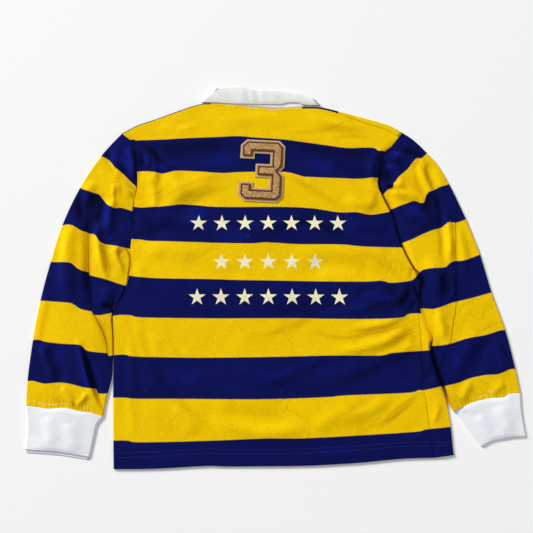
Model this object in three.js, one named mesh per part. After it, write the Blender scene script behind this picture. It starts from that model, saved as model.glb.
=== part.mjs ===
// Rugby shirt with broad hoops, laid flat on its front so that the back shows.
// Millimetres. +X to the viewer's right, +Y towards the collar, +Z up.
// The origin is on the floor under the middle of the outline.

import * as THREE from 'three';

// Cloth and layers
const WALL = 1.4;             // thickness of the jersey, collar and cuffs
const BAND_WALL = 1.2;        // thickness of the placket bands
const SEAM = 0.2;             // half of the gap that a seam leaves
const LAYER = 0.6;            // air between the two layers at a folded edge
const FOLD = WALL + LAYER / 2;            // outer radius of a folded edge
const FOLD_INSIDE = LAYER / 2;            // inner radius of a folded edge
const CLEAR = 0.3;            // air between pieces that lie on each other

// How the panels are divided
const UNDERARM = 0.46;        // share of the side from the hem to the underarm
const SIDE_STEPS = 8;
const ARMHOLE_STEPS = 12;
const SLEEVE_STEPS = 16;
const CUFF_STEPS = 3;
const NECK_LEFT = 0.313;      // shares of the top edge where the neck starts and ends
const NECK_RIGHT = 0.645;
const SHOULDER_LEFT_STEPS = 6;
const SHOULDER_RIGHT_STEPS = 7;
const ARC = [-45, 0, 45];     // directions of the points round a folded edge, degrees

// Front neck and placket
const NECK_DROP = 80;         // front neck seam below the back neck seam
const PLACKET_SHARE = 0.17;   // half width of the placket, as a share of half the neck
const NECK_SHARES = [PLACKET_SHARE, 0.32, 0.5, 0.75];
const PLACKET_FOOT = 5;       // steps of the armhole from the underarm up to the slot's foot
const SQUEEZE_FROM = 0.6;     // share of the height above which the front's rows close up
const BAND_OVERLAP = 6;       // inner band beyond each edge of the slot
const BUTTON_RADIUS = 7.5;
const BUTTON_HEIGHT = 1.6;
const BUTTON_SPACING = 55;
const FIRST_BUTTON = 22;      // top button below the front neck seam

// Heights that the hidden layers give the front above the floor
const OVER_LEAF = WALL + CLEAR;
const OVER_BUTTONS = CLEAR + BUTTON_HEIGHT + CLEAR;
const OVER_BANDS = 1.6;       // what the inner band adds under the back
const PUFF = 1.8;             // loft of the upper layer away from its edges
const PUFF_SHARE = 0.16;      // share of the width over which the loft grows
const RIDGE_FADE = 0.06;      // share of the width over which ridges die out at a seam

// Collar
const COLLAR_MIDDLE = 2 * WALL + CLEAR + LAYER / 2;   // height of its middle plane
const ROLL = 1.55;            // outer radius of the roll at the top of the collar
const ROLL_INSIDE = ROLL - WALL;
const STAND_TOP = 4;          // top of the stand below the roll

// Numeral
const NUMERAL = { x: -70, y: 130, width: 90, height: 131, tilt: -3 };
const NUMERAL_STROKE = 29;
const NUMERAL_ARM = 41;       // how far the two ends of the numeral run towards its middle
const NUMERAL_CUT = 12;       // cut corners
const NUMERAL_WAIST = { half: 9, depth: 8, reach: 32 };   // notch at the middle and its bar's start
const NUMERAL_BORDER = 5;
const FELT = 1.4;
const CHENILLE = 2.6;
const NUMERAL_FLAT = 34;      // flat cloth kept round the numeral
const NUMERAL_HEIGHT = OVER_BUTTONS + OVER_BANDS + 2 * WALL + LAYER;   // top of the cloth under it

// Outlines, x and y, each from the hem or the centre outwards
const HEM = [[-298, -384], [-220, -383], [-126, -378], [-84, -379], [46, -378], [96, -376],
  [160, -372], [235, -365], [296, -363]];
const LEFT_SIDE = [[-298, -384], [-301, -331], [-305, -253], [-308, -173], [-314, -98], [-312, -82],
  [-302, -68], [-292, -54]];
const LEFT_ARMHOLE = [[-292, -54], [-285, -19], [-285, 20], [-283, 60], [-282, 130], [-276, 165],
  [-279, 215], [-288, 256], [-312, 279]];
const RIGHT_SIDE = [[296, -363], [291, -336], [289, -310], [285, -257], [280, -220], [281, -144],
  [279, -94], [279, -73]];
const RIGHT_ARMHOLE = [[279, -73], [284, -48], [279, -18], [272, 3], [261, 24], [252, 44],
  [243, 68], [234, 105], [218, 144], [209, 166], [215, 201], [224, 236], [244, 257], [263, 281]];
const RIGHT_FOLD = [[332, -358], [331, -348], [329, -306], [324, -262], [322, -231], [318, -163],
  [314, -102]];
const LEFT_SHOULDER = [[-312, 279], [-279, 298], [-248, 309], [-202, 327], [-155, 343], [-132, 345]];
const BACK_NECK = [[-132, 345], [-100, 343], [-63, 339], [-36, 336], [-1, 333], [33, 334], [59, 337]];
const RIGHT_SHOULDER = [[59, 337], [93, 337], [137, 327], [217, 304], [243, 294], [263, 281]];

const LEFT_SLEEVE_OUTER = [[-312, 279], [-352, 230], [-391, 162], [-422, 83], [-440, 9], [-455, -68],
  [-464, -144], [-469, -222], [-468, -268]];
const LEFT_SLEEVE_INNER = [[-292, -54], [-303, -69], [-314, -83], [-315.6, -98], [-311, -160],
  [-310, -190], [-310, -218], [-316, -246], [-320, -271], [-322, -288]];
const LEFT_CUFF_SEAM = [[-468, -268], [-453, -269], [-424, -273], [-395, -271], [-370, -277],
  [-346, -280], [-322, -288]];
const LEFT_CUFF_OUTER = [[-468, -268], [-464, -293], [-462, -317], [-464, -348]];
const LEFT_CUFF_INNER = [[-322, -288], [-333, -302], [-337, -322], [-344, -362]];
const LEFT_CUFF_END = [[-464, -348], [-400, -353], [-344, -362]];

const RIGHT_SLEEVE_OUTER = [[263, 281], [286, 264], [311, 237], [331, 212], [352, 171], [365, 140],
  [382, 96], [394, 60], [405, 25], [423, -52], [444, -125], [458, -200], [464, -245]];
const RIGHT_SLEEVE_INNER = [[279, -73], [282, -85], [287, -108], [298, -132], [298, -163], [306, -192],
  [318, -232], [325, -259], [334, -278]];
const RIGHT_CUFF_SEAM = [[464, -245], [445, -245], [430, -252], [404, -254], [374, -261], [351, -271],
  [334, -278]];
const RIGHT_CUFF_OUTER = [[464, -245], [464, -280], [468, -323]];
const RIGHT_CUFF_INNER = [[334, -278], [344, -287], [357, -307], [370, -325], [383, -342]];
const RIGHT_CUFF_END = [[468, -323], [442, -325], [410, -330], [398, -334], [383, -342]];

// Collar: roll at its top and free edge of the leaf, over the back and under the front
const ROLL_BACK = [[-119, 378], [-74, 383], [-58, 379], [-38, 375], [11, 372], [48, 367], [79, 358]];
const LEAF_BACK = [[-150, 347], [-134, 348], [-119, 349], [-75, 345], [9, 343], [25, 346], [46, 346],
  [68, 341], [96, 341]];
const ROLL_LEFT = [[-38, 286], [-70, 302], [-98, 335], [-119, 378]];
const LEAF_LEFT = [[-75, 218], [-100, 261], [-125, 303], [-150, 347]];
const ROLL_RIGHT = [[-35, 286], [0, 300], [30, 324], [55, 344], [79, 358]];
const LEAF_RIGHT = [[2, 218], [36, 258], [70, 300], [96, 341]];

// How far the front comes over each shoulder, from the armhole to the neck
const LEFT_WRAP = [2.5, 2.5, 2.5];
const RIGHT_WRAP = [4, 5, 13, 13];
const LEAST_LAP = 0.6;        // flat cloth past the fold, at the least

// Largest folds of the upper layer: a ridge from one end to the other
const RIDGES = [
  { name: 'right underarm', x0: 270, y0: -122, x1: 120, y1: -168, width: 14, height: 2.6 },
  { name: 'right waist', x0: 256, y0: -240, x1: 190, y1: -318, width: 12, height: 2.2 },
  { name: 'right chest', x0: 40, y0: 26, x1: 232, y1: -8, width: 16, height: 2.4 },
  { name: 'left armhole high', x0: -236, y0: 226, x1: -186, y1: 136, width: 13, height: 2.6 },
  { name: 'left armhole low', x0: -262, y0: 196, x1: -226, y1: 112, width: 11, height: 2.2 },
  { name: 'left shoulder blade', x0: -186, y0: 112, x1: -96, y1: 60, width: 14, height: 2.0 },
  { name: 'left collarbone', x0: -176, y0: 300, x1: -110, y1: 282, width: 13, height: 1.8 },
  { name: 'right shoulder blade', x0: 120, y0: 236, x1: 205, y1: 190, width: 14, height: 2.6 },
  { name: 'right armhole', x0: 150, y0: 150, x1: 226, y1: 96, width: 13, height: 2.0 },
  { name: 'left side', x0: -266, y0: -90, x1: -262, y1: -330, width: 10, height: 1.5 },
  { name: 'hem middle', x0: -110, y0: -300, x1: 48, y1: -326, width: 17, height: 1.6 },
  { name: 'left elbow outer', x0: -400, y0: 150, x1: -382, y1: -40, width: 11, height: 2.6 },
  { name: 'left elbow inner', x0: -344, y0: 150, x1: -336, y1: -30, width: 10, height: 2.2 },
  { name: 'left forearm', x0: -392, y0: -140, x1: -350, y1: -262, width: 12, height: 2.6 },
  { name: 'left forearm outer', x0: -436, y0: -140, x1: -412, y1: -210, width: 12, height: 1.8 },
  { name: 'right upper arm', x0: 290, y0: 196, x1: 322, y1: 84, width: 12, height: 2.8 },
  { name: 'right elbow', x0: 352, y0: 60, x1: 350, y1: -60, width: 11, height: 2.0 },
  { name: 'right forearm', x0: 372, y0: -120, x1: 400, y1: -236, width: 13, height: 2.4 },
  { name: 'right forearm inner', x0: 322, y0: -120, x1: 346, y1: -230, width: 11, height: 2.0 },
];

// Colours and finishes
const YELLOW_JERSEY = { color: 0xf2c500, roughness: 0.85, metalness: 0 };
const NAVY_JERSEY = { color: 0x16165c, roughness: 0.85, metalness: 0 };
const WHITE_TWILL = { color: 0xe6e9ea, roughness: 0.8, metalness: 0 };
const WHITE_RIB = { color: 0xecf0f2, roughness: 0.9, metalness: 0 };
const RUBBER = { color: 0xe9e9e4, roughness: 0.55, metalness: 0 };
const TAN_FELT = { color: 0xc8a578, roughness: 0.95, metalness: 0 };
const TAN_PILE = { color: 0xbe9655, roughness: 1, metalness: 0 };

// Small helpers on plain [x, y] points
const add = (p, q, k = 1) => [p[0] + q[0] * k, p[1] + q[1] * k];
const mix = (p, q, t) => [p[0] + (q[0] - p[0]) * t, p[1] + (q[1] - p[1]) * t];
const away = (from, to) => {
  const length = Math.hypot(to[0] - from[0], to[1] - from[1]);
  return [(to[0] - from[0]) / length, (to[1] - from[1]) / length];
};
const ease = (t) => {
  const k = Math.min(1, Math.max(0, t));
  return k * k * (3 - 2 * k);
};
const radians = (degrees) => degrees * Math.PI / 180;

// A smooth curve through the points of a table, at a share of its length
function pointOn(table, share) {
  const lengths = [0];
  for (let k = 1; k < table.length; k += 1) {
    lengths.push(lengths[k - 1] + Math.hypot(...add(table[k], table[k - 1], -1)));
  }
  const target = share * lengths[lengths.length - 1];
  let k = 1;
  while (k < table.length - 1 && lengths[k] < target) {
    k += 1;
  }
  const t = (target - lengths[k - 1]) / (lengths[k] - lengths[k - 1]);
  const [before, from, to, after] = [k - 2, k - 1, k, k + 1].map(
    (n) => table[Math.min(table.length - 1, Math.max(0, n))],
  );
  return [0, 1].map((axis) => 0.5 * (2 * from[axis]
    + (to[axis] - before[axis]) * t
    + (2 * before[axis] - 5 * from[axis] + 4 * to[axis] - after[axis]) * t * t
    + (3 * from[axis] - before[axis] - 3 * to[axis] + after[axis]) * t * t * t));
}

// A value between the entries of an even list
function valueOn(list, share) {
  const place = Math.min(0.9999, Math.max(0, share)) * (list.length - 1);
  const k = Math.floor(place);
  return list[k] + (list[k + 1] - list[k]) * (place - k);
}

// A flat piece with four curved sides: a point at share u across and share v along
function patch({ start, end, left, right }) {
  return (u, v) => {
    const sides = mix(left(v), right(v), u);
    const ends = mix(start(u), end(u), v);
    const corners = mix(mix(start(0), start(1), u), mix(end(0), end(1), u), v);
    return add(add(sides, ends), corners, -1);
  };
}

// One closed wall from rows of point pairs: on the face and on the reverse
function wall(rows, { closed = false, skip = () => false } = {}) {
  const columns = rows[0].length;
  const cells = closed ? columns : columns - 1;
  const positions = [];
  const index = [];
  const ids = new Map();
  const has = (j, i) => {
    if (j < 0 || j > rows.length - 2 || (!closed && (i < 0 || i >= cells))) {
      return false;
    }
    return !skip(j, (i + columns) % columns);
  };
  const id = (j, i, side) => {
    const column = (i + columns) % columns;
    const key = `${j} ${column} ${side}`;
    if (!ids.has(key)) {
      ids.set(key, positions.length / 3);
      positions.push(...rows[j][column][side]);
    }
    return ids.get(key);
  };
  const quad = (a, b, c, d) => index.push(a, b, c, a, c, d);
  const rim = (p, q) => quad(id(...q, 0), id(...p, 0), id(...p, 1), id(...q, 1));
  for (let j = 0; j < rows.length - 1; j += 1) {
    for (let i = 0; i < cells; i += 1) {
      if (!has(j, i)) {
        continue;
      }
      const [a, b, c, d] = [[j, i], [j, i + 1], [j + 1, i + 1], [j + 1, i]];
      quad(id(...a, 0), id(...b, 0), id(...c, 0), id(...d, 0));
      quad(id(...d, 1), id(...c, 1), id(...b, 1), id(...a, 1));
      if (!has(j - 1, i)) {
        rim(a, b);
      }
      if (!has(j, i + 1)) {
        rim(b, c);
      }
      if (!has(j + 1, i)) {
        rim(c, d);
      }
      if (!has(j, i - 1)) {
        rim(d, a);
      }
    }
  }
  const geometry = new THREE.BufferGeometry();
  geometry.setAttribute('position', new THREE.Float32BufferAttribute(positions, 3));
  geometry.setIndex(volume(positions, index) < 0 ? index.reverse() : index);
  geometry.computeVertexNormals();
  return geometry;
}

// Signed volume, which tells whether the faces point out
function volume(positions, index) {
  const corner = (n) => new THREE.Vector3().fromArray(positions, index[n] * 3);
  let sum = 0;
  for (let n = 0; n < index.length; n += 3) {
    sum += corner(n).dot(corner(n + 1).cross(corner(n + 2)));
  }
  return sum;
}

// 1 inside a box, falling to 0 over a margin round it
function zone(x, y, box, margin) {
  const beyondX = Math.max(box.x0 - x, x - box.x1, 0);
  const beyondY = Math.max(box.y0 - y, y - box.y1, 0);
  return ease(1 - Math.hypot(beyondX, beyondY) / margin);
}

// The body's own outline
const bodyTop = (u) => {
  if (u < NECK_LEFT) {
    return pointOn(LEFT_SHOULDER, u / NECK_LEFT);
  }
  if (u > NECK_RIGHT) {
    return pointOn(RIGHT_SHOULDER, (u - NECK_RIGHT) / (1 - NECK_RIGHT));
  }
  return pointOn(BACK_NECK, (u - NECK_LEFT) / (NECK_RIGHT - NECK_LEFT));
};
const upSide = (side, armhole) => (v) => (v < UNDERARM
  ? pointOn(side, v / UNDERARM)
  : pointOn(armhole, (v - UNDERARM) / (1 - UNDERARM)));
const body = patch({
  start: (u) => pointOn(HEM, u),
  end: bodyTop,
  left: upSide(LEFT_SIDE, LEFT_ARMHOLE),
  right: upSide(RIGHT_SIDE, RIGHT_ARMHOLE),
});

// Rows from the hem to the top edge, and columns from left to right
const rowShares = [];
for (let k = 0; k < SIDE_STEPS; k += 1) {
  rowShares.push(UNDERARM * k / SIDE_STEPS);
}
for (let k = 0; k <= ARMHOLE_STEPS; k += 1) {
  rowShares.push(UNDERARM + (1 - UNDERARM) * k / ARMHOLE_STEPS);
}
const UNDERARM_ROW = SIDE_STEPS;
const TOP_ROW = rowShares.length - 1;
const PLACKET_ROW = UNDERARM_ROW + PLACKET_FOOT;
const NECK_MIDDLE = (NECK_LEFT + NECK_RIGHT) / 2;
const NECK_HALF = (NECK_RIGHT - NECK_LEFT) / 2;
const columnShares = [];
for (let k = 0; k <= SHOULDER_LEFT_STEPS; k += 1) {
  columnShares.push(NECK_LEFT * k / SHOULDER_LEFT_STEPS);
}
[...NECK_SHARES].reverse().forEach((share) => columnShares.push(NECK_MIDDLE - NECK_HALF * share));
NECK_SHARES.forEach((share) => columnShares.push(NECK_MIDDLE + NECK_HALF * share));
for (let k = 0; k <= SHOULDER_RIGHT_STEPS; k += 1) {
  columnShares.push(NECK_RIGHT + (1 - NECK_RIGHT) * k / SHOULDER_RIGHT_STEPS);
}
const LAST_COLUMN = columnShares.length - 1;
const NECK_FIRST = SHOULDER_LEFT_STEPS;
const NECK_LAST = LAST_COLUMN - SHOULDER_RIGHT_STEPS;
const SLOT_COLUMN = NECK_FIRST + NECK_SHARES.length;
const inNeck = (column) => column > NECK_FIRST && column < NECK_LAST;

// The front neck seam hangs below the back neck seam
const neckDrop = (u) => {
  const share = (u - NECK_MIDDLE) / NECK_HALF;
  return Math.abs(share) < 1 ? NECK_DROP * (1 - share * share) : 0;
};
const frontNeck = (u) => add(bodyTop(u), [0, -neckDrop(u)]);
const underNeck = (u, row) => {
  const v = rowShares[row];
  const squeeze = Math.max(0, (v - SQUEEZE_FROM) / (1 - SQUEEZE_FROM));
  const [x, y] = add(body(u, v), [0, -(neckDrop(u) + 2 * SEAM) * squeeze]);
  const besideSlot = Math.abs(u - NECK_MIDDLE) < NECK_HALF * (PLACKET_SHARE + 0.01);
  return [besideSlot && row >= PLACKET_ROW ? frontNeck(u)[0] : x, y];
};

// Height of the front's underside above the floor
const LEAF_BOX = { x0: -158, x1: 104, y0: 205, y1: 400 };
const PLACKET_BOX = { x0: -62, x1: -10, y0: 78, y1: 258 };
const ZONE_MARGIN = 70;
const overPlacket = (x, y) => zone(x, y, PLACKET_BOX, ZONE_MARGIN);
const frontBase = (x, y) => Math.max(
  OVER_LEAF * zone(x, y, LEAF_BOX, ZONE_MARGIN),
  OVER_BUTTONS * overPlacket(x, y),
);

// Ridges of the upper layer at a point
function ridges(x, y) {
  return RIDGES.reduce((sum, ridge) => {
    const run = [ridge.x1 - ridge.x0, ridge.y1 - ridge.y0];
    const square = run[0] * run[0] + run[1] * run[1];
    const along = ((x - ridge.x0) * run[0] + (y - ridge.y0) * run[1]) / square;
    const nearest = Math.min(1, Math.max(0, along));
    const [dx, dy] = [x - ridge.x0 - run[0] * nearest, y - ridge.y0 - run[1] * nearest];
    const fade = ease(along / 0.25 + 0.5) * ease((1 - along) / 0.25 + 0.5);
    return sum + ridge.height * fade * Math.exp(-(dx * dx + dy * dy) / (ridge.width * ridge.width));
  }, 0);
}

// Height of the back's upper face
const NUMERAL_BOX = {
  x0: NUMERAL.x,
  x1: NUMERAL.x + NUMERAL.width,
  y0: NUMERAL.y,
  y1: NUMERAL.y + NUMERAL.height,
};
function backTop(x, y, u, v) {
  const across = ease(Math.min(u, 1 - u) / PUFF_SHARE);
  const along = ease(Math.min(v, 1 - v) / PUFF_SHARE);
  const sideFade = v < UNDERARM ? ease(Math.min(u, 1 - u) / RIDGE_FADE) : 1;
  const loft = PUFF * across * along + ridges(x, y) * sideFade * ease((1 - v) / RIDGE_FADE);
  const free = frontBase(x, y) + OVER_BANDS * overPlacket(x, y) + 2 * WALL + LAYER + loft;
  const flat = ease(1 - Math.max(0, beyond(x, y) - NUMERAL_FLAT) / ZONE_MARGIN);
  return free + (NUMERAL_HEIGHT - free) * flat;
}
const beyond = (x, y) => Math.hypot(
  Math.max(NUMERAL_BOX.x0 - x, x - NUMERAL_BOX.x1, 0),
  Math.max(NUMERAL_BOX.y0 - y, y - NUMERAL_BOX.y1, 0),
);

// Points round a folded edge, from the lower layer to the upper one
function foldPair(base, outward, middle, degrees, outer = FOLD, inner = FOLD_INSIDE) {
  const [c, s] = [Math.cos(radians(degrees)), Math.sin(radians(degrees))];
  return [outer, inner].map((radius) => [
    base[0] + outward[0] * radius * c,
    base[1] + outward[1] * radius * c,
    middle + radius * s,
  ]);
}
const upperPair = (point, top) => [[...point, top], [...point, top - WALL]];
const lowerPair = (point, base) => [[...point, base], [...point, base + WALL]];

// How far the front comes over the shoulder at a column
const shoulderWrap = (u) => (u < 0.5
  ? valueOn(LEFT_WRAP, u / NECK_LEFT)
  : valueOn(RIGHT_WRAP, (u - NECK_RIGHT) / (1 - NECK_RIGHT)));

// Direction from the last row but one to the top edge
const towardsTop = (u) => away(body(u, rowShares[TOP_ROW - 1]), body(u, 1));

// The side edges stand back for the seam, or for the folded edge under the arm
function sideInset(column, row) {
  if (column === 0) {
    return [row <= UNDERARM_ROW ? FOLD : SEAM, 0];
  }
  return column === LAST_COLUMN ? [-SEAM, 0] : [0, 0];
}

function backPanel() {
  const leftArc = [5, 45];
  const rows = rowShares.map((share, j) => {
    const main = columnShares.map((u, i) => {
      let point = body(u, share);
      if (j === TOP_ROW) {
        const back = inNeck(i) ? SEAM : shoulderWrap(u) + SEAM;
        point = add(point, towardsTop(u), -back);
      }
      point = add(point, sideInset(i, j));
      return upperPair(point, backTop(...point, u, share));
    });
    const base = main[0][0];
    const middle = frontBase(base[0], base[1]) + FOLD;
    const arc = leftArc.map((degrees) => foldPair(base, [-1, 0], middle, degrees));
    return [...arc, ...main];
  });
  const skip = (j, i) => i < leftArc.length && j >= UNDERARM_ROW;
  return wall(rows, { skip });
}

// Columns of the front beyond its right side seam, as it comes round onto the back
const WRAP_FLOOR = [0.5, 1];
const WRAP_TOP = [1, 0.5, 0];

function frontPanel() {
  const leftArc = [-5, -45];
  const firstMain = leftArc.length;
  const lastMain = firstMain + LAST_COLUMN;
  const mainPoint = (u, share, i, j) => {
    if (inNeck(i)) {
      return underNeck(u, j);
    }
    return j === TOP_ROW ? add(body(u, share), towardsTop(u), -FOLD) : body(u, share);
  };
  const rightWrap = (share) => {
    const side = Math.min(share / UNDERARM, 1);
    const seam = add(pointOn(RIGHT_SIDE, side), [SEAM, 0]);
    const edge = pointOn(RIGHT_FOLD, side);
    const outward = away(seam, edge);
    const base = add(edge, outward, -FOLD);
    return [
      ...WRAP_FLOOR.map((t) => lowerPair(mix(seam, base, t), 0)),
      ...ARC.map((degrees) => foldPair(base, outward, FOLD, degrees)),
      ...WRAP_TOP.map((t) => upperPair(mix(seam, base, t), 2 * FOLD)),
    ];
  };
  const rows = rowShares.map((share, j) => {
    const main = columnShares.map((u, i) => {
      const point = add(mainPoint(u, share, i, j), sideInset(i, j));
      return lowerPair(point, frontBase(...point));
    });
    const base = main[0][0];
    const arc = leftArc.map((degrees) => foldPair(base, [-1, 0], base[2] + FOLD, degrees));
    return [...arc, ...main, ...rightWrap(share)];
  });
  const overShoulder = (place) => {
    const row = columnShares.map((u, i) => {
      const outward = towardsTop(u);
      const base = add(add(body(u, 1), outward, -FOLD), sideInset(i, TOP_ROW));
      const middle = frontBase(...base) + FOLD;
      return place(u, base, outward, middle);
    });
    return [row[0], row[0], ...row, ...rightWrap(UNDERARM)];
  };
  ARC.forEach((degrees) => {
    rows.push(overShoulder((u, base, outward, middle) => foldPair(base, outward, middle, degrees)));
  });
  [0, 1].forEach((share) => {
    rows.push(overShoulder((u, base, outward, middle) => {
      const reach = Math.max(LEAST_LAP, shoulderWrap(u) - FOLD);
      return upperPair(add(base, outward, -reach * share), middle + FOLD);
    }));
  });
  const skip = (j, i) => {
    if (i < firstMain || i >= lastMain) {
      return j >= UNDERARM_ROW;
    }
    const column = i - firstMain;
    if (j >= TOP_ROW) {
      return column >= NECK_FIRST && column < NECK_LAST;
    }
    return column === SLOT_COLUMN && j >= PLACKET_ROW;
  };
  return wall(rows, { skip });
}

// A flattened tube: one patch seen twice, with folded edges at both sides
function flatTube(shape, rings, across, floor, top) {
  const rows = [];
  for (let j = 0; j <= rings; j += 1) {
    const v = j / rings;
    const outer = away(shape(1 / across, v), shape(0, v));
    const inner = away(shape(1 - 1 / across, v), shape(1, v));
    const points = [];
    for (let i = 0; i <= across; i += 1) {
      points.push(shape(i / across, v));
    }
    points[0] = add(points[0], outer, -FOLD);
    points[across] = add(points[across], inner, -FOLD);
    const under = points.map((point) => lowerPair(point, floor(...point)));
    const over = points.map((point, i) => upperPair(point, top(...point, i / across, v)));
    const outerMiddle = floor(...points[0]) + FOLD;
    const innerMiddle = floor(...points[across]) + FOLD;
    rows.push([
      ...over,
      ...[...ARC].reverse().map((degrees) => foldPair(points[across], inner, innerMiddle, degrees)),
      ...under.reverse(),
      ...ARC.map((degrees) => foldPair(points[0], outer, outerMiddle, degrees)),
    ]);
  }
  return wall(rows, { closed: true });
}

// The upper face of a sleeve or cuff over its own lower face
const TUBE_PUFF = { across: 0.3, along: 0.12, ridges: 0.12 };   // shares over which each grows
const tubeTop = (floor, folds) => (x, y, u, v) => {
  const across = ease(Math.min(u, 1 - u) / TUBE_PUFF.across);
  const along = ease(Math.min(v, 1 - v) / TUBE_PUFF.along);
  const sideFade = ease(Math.min(u, 1 - u) / TUBE_PUFF.ridges);
  return floor(x, y) + 2 * FOLD + PUFF * across * along + folds(x, y) * sideFade;
};
const onFloor = () => 0;

// The right sleeve climbs onto the side of the body below the underarm
const LAP_START = 20;
const LAP_FULL = -34;
const LAP_RUN = 34;           // how far it takes to come down to the floor again
function overBody(x, y) {
  const [, foldTop] = RIGHT_FOLD[RIGHT_FOLD.length - 1];
  const [, foldEnd] = RIGHT_FOLD[0];
  const share = Math.min(1, Math.max(0, (y - foldEnd) / (foldTop - foldEnd)));
  const [edge] = pointOn(RIGHT_FOLD, share);
  const down = ease((LAP_START - y) / (LAP_START - LAP_FULL));
  const inside = ease(1 - (x - edge - FOLD) / LAP_RUN);
  return (2 * FOLD + 2 * CLEAR) * down * inside;
}

function sleeve({ outer, inner, armhole, cuffSeam, shift, floor }) {
  const shape = patch({
    start: (u) => add(pointOn(armhole, 1 - u), [shift, 0]),
    end: (u) => add(pointOn(cuffSeam, u), [0, SEAM]),
    left: (v) => pointOn(outer, v),
    right: (v) => pointOn(inner, v),
  });
  return flatTube(shape, SLEEVE_STEPS, ARMHOLE_STEPS, floor, tubeTop(floor, ridges));
}

function cuff({ seam, outer, inner, end }) {
  const shape = patch({
    start: (u) => add(pointOn(seam, u), [0, -SEAM]),
    end: (u) => pointOn(end, u),
    left: (v) => pointOn(outer, v),
    right: (v) => pointOn(inner, v),
  });
  return flatTube(shape, CUFF_STEPS, ARMHOLE_STEPS, onFloor, tubeTop(onFloor, () => 0));
}

// Stations round the neck: front left, left side, back, right side, front right
function collarStations() {
  const open = 0.02;
  const shares = [open, ...NECK_SHARES, 1];
  const front = (side, roll, leaf) => shares.map((share) => ({
    seam: add(frontNeck(NECK_MIDDLE + side * NECK_HALF * share), [0, share < 1 ? 0 : SEAM]),
    roll: pointOn(roll, (share - open) / (1 - open)),
    leaf: pointOn(leaf, (share - open) / (1 - open)),
    turn: -90,
    outward: [side, 0],
    atSide: share === 1,
  }));
  const left = front(-1, ROLL_LEFT, LEAF_LEFT);
  const right = front(1, ROLL_RIGHT, LEAF_RIGHT);
  const backShares = [...[...NECK_SHARES, 1].reverse().map((share) => -share), ...NECK_SHARES, 1];
  const back = backShares.map((share) => ({
    seam: add(bodyTop(NECK_MIDDLE + NECK_HALF * share), [0, SEAM]),
    roll: pointOn(ROLL_BACK, (1 + share) / 2),
    leaf: pointOn(LEAF_BACK, (1 + share) / 2),
    turn: 90,
    outward: [Math.sign(share), 0],
    atSide: Math.abs(share) === 1,
  }));
  const turnRound = (station, turns) => turns.map((turn) => ({ ...station, turn }));
  return [
    ...left,
    ...turnRound(left[left.length - 1], ARC),
    ...back,
    ...turnRound(right[right.length - 1], [...ARC].reverse()),
    ...right.reverse(),
  ];
}

// One pair on the collar, a share of the way from one point to another
function collarPair(station, point, reach, outer, inner) {
  const base = station.atSide ? add(point, station.outward, -reach) : point;
  return foldPair(base, station.outward, COLLAR_MIDDLE, station.turn, outer, inner);
}

function collarStand(stations) {
  const rows = [0, 0.5, 1].map((share) => stations.map((station) => {
    const top = add(station.roll, away(station.roll, station.seam), STAND_TOP);
    return collarPair(station, mix(station.seam, top, share), FOLD, FOLD, FOLD_INSIDE);
  }));
  return wall(rows);
}

function collarLeaf(stations) {
  const leafOut = 2 * FOLD;
  const leafIn = leafOut - WALL;
  const middle = leafOut - ROLL;
  const profile = [-90, -135, 180, 135].map((degrees) => {
    const [c, s] = [Math.cos(radians(degrees)), Math.sin(radians(degrees))];
    return {
      face: { along: ROLL + ROLL * c, out: middle + ROLL * s },
      reverse: { along: ROLL + ROLL_INSIDE * c, out: middle + ROLL_INSIDE * s },
    };
  });
  const place = (station, { along, out }) => {
    const down = away(station.roll, station.leaf);
    return collarPair(station, add(station.roll, down, along), leafOut, out, out)[0];
  };
  const rows = profile.map(({ face, reverse }) => stations.map(
    (station) => [place(station, face), place(station, reverse)],
  ));
  [0, 0.35, 0.7, 1].forEach((share) => {
    rows.push(stations.map((station) => {
      const length = Math.hypot(...add(station.leaf, station.roll, -1));
      const along = ROLL + (length - ROLL) * share;
      return [place(station, { along, out: leafOut }), place(station, { along, out: leafIn })];
    }));
  });
  return wall(rows);
}

// Placket bands, made from the points of the slot in the front
function placketBand(beyondSlot, low) {
  const columns = [
    { u: columnShares[SLOT_COLUMN], shift: -beyondSlot },
    { u: NECK_MIDDLE, shift: 0 },
    { u: columnShares[SLOT_COLUMN + 1], shift: beyondSlot },
  ];
  const rows = [];
  for (let j = PLACKET_ROW; j <= TOP_ROW; j += 1) {
    const points = columns.map(({ u, shift }) => add(underNeck(u, j), [shift, 0]));
    if (j === PLACKET_ROW) {
      points[1] = mix(points[0], points[2], 0.5);
      points.forEach((point) => {
        point[1] += CLEAR;
      });
    }
    rows.push(points.map((point) => [[...point, low], [...point, low + BAND_WALL]]));
  }
  return wall(rows);
}

// A flat rubber button with a shallow dish and a raised middle
function button() {
  const [rim, dish, hub] = [BUTTON_RADIUS, BUTTON_RADIUS * 0.72, BUTTON_RADIUS * 0.3];
  const profile = [[0, BUTTON_HEIGHT], [rim * 0.94, BUTTON_HEIGHT], [rim, BUTTON_HEIGHT * 0.7],
    [rim, 0.3], [rim * 0.94, 0], [dish, 0], [dish * 0.9, 0.5], [hub, 0.5], [hub * 0.8, 0.1], [0, 0.1]];
  const points = profile.map(([radius, height]) => new THREE.Vector2(radius, height));
  const geometry = new THREE.LatheGeometry(points.reverse(), 24);
  geometry.rotateX(Math.PI / 2);
  return geometry;
}

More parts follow.
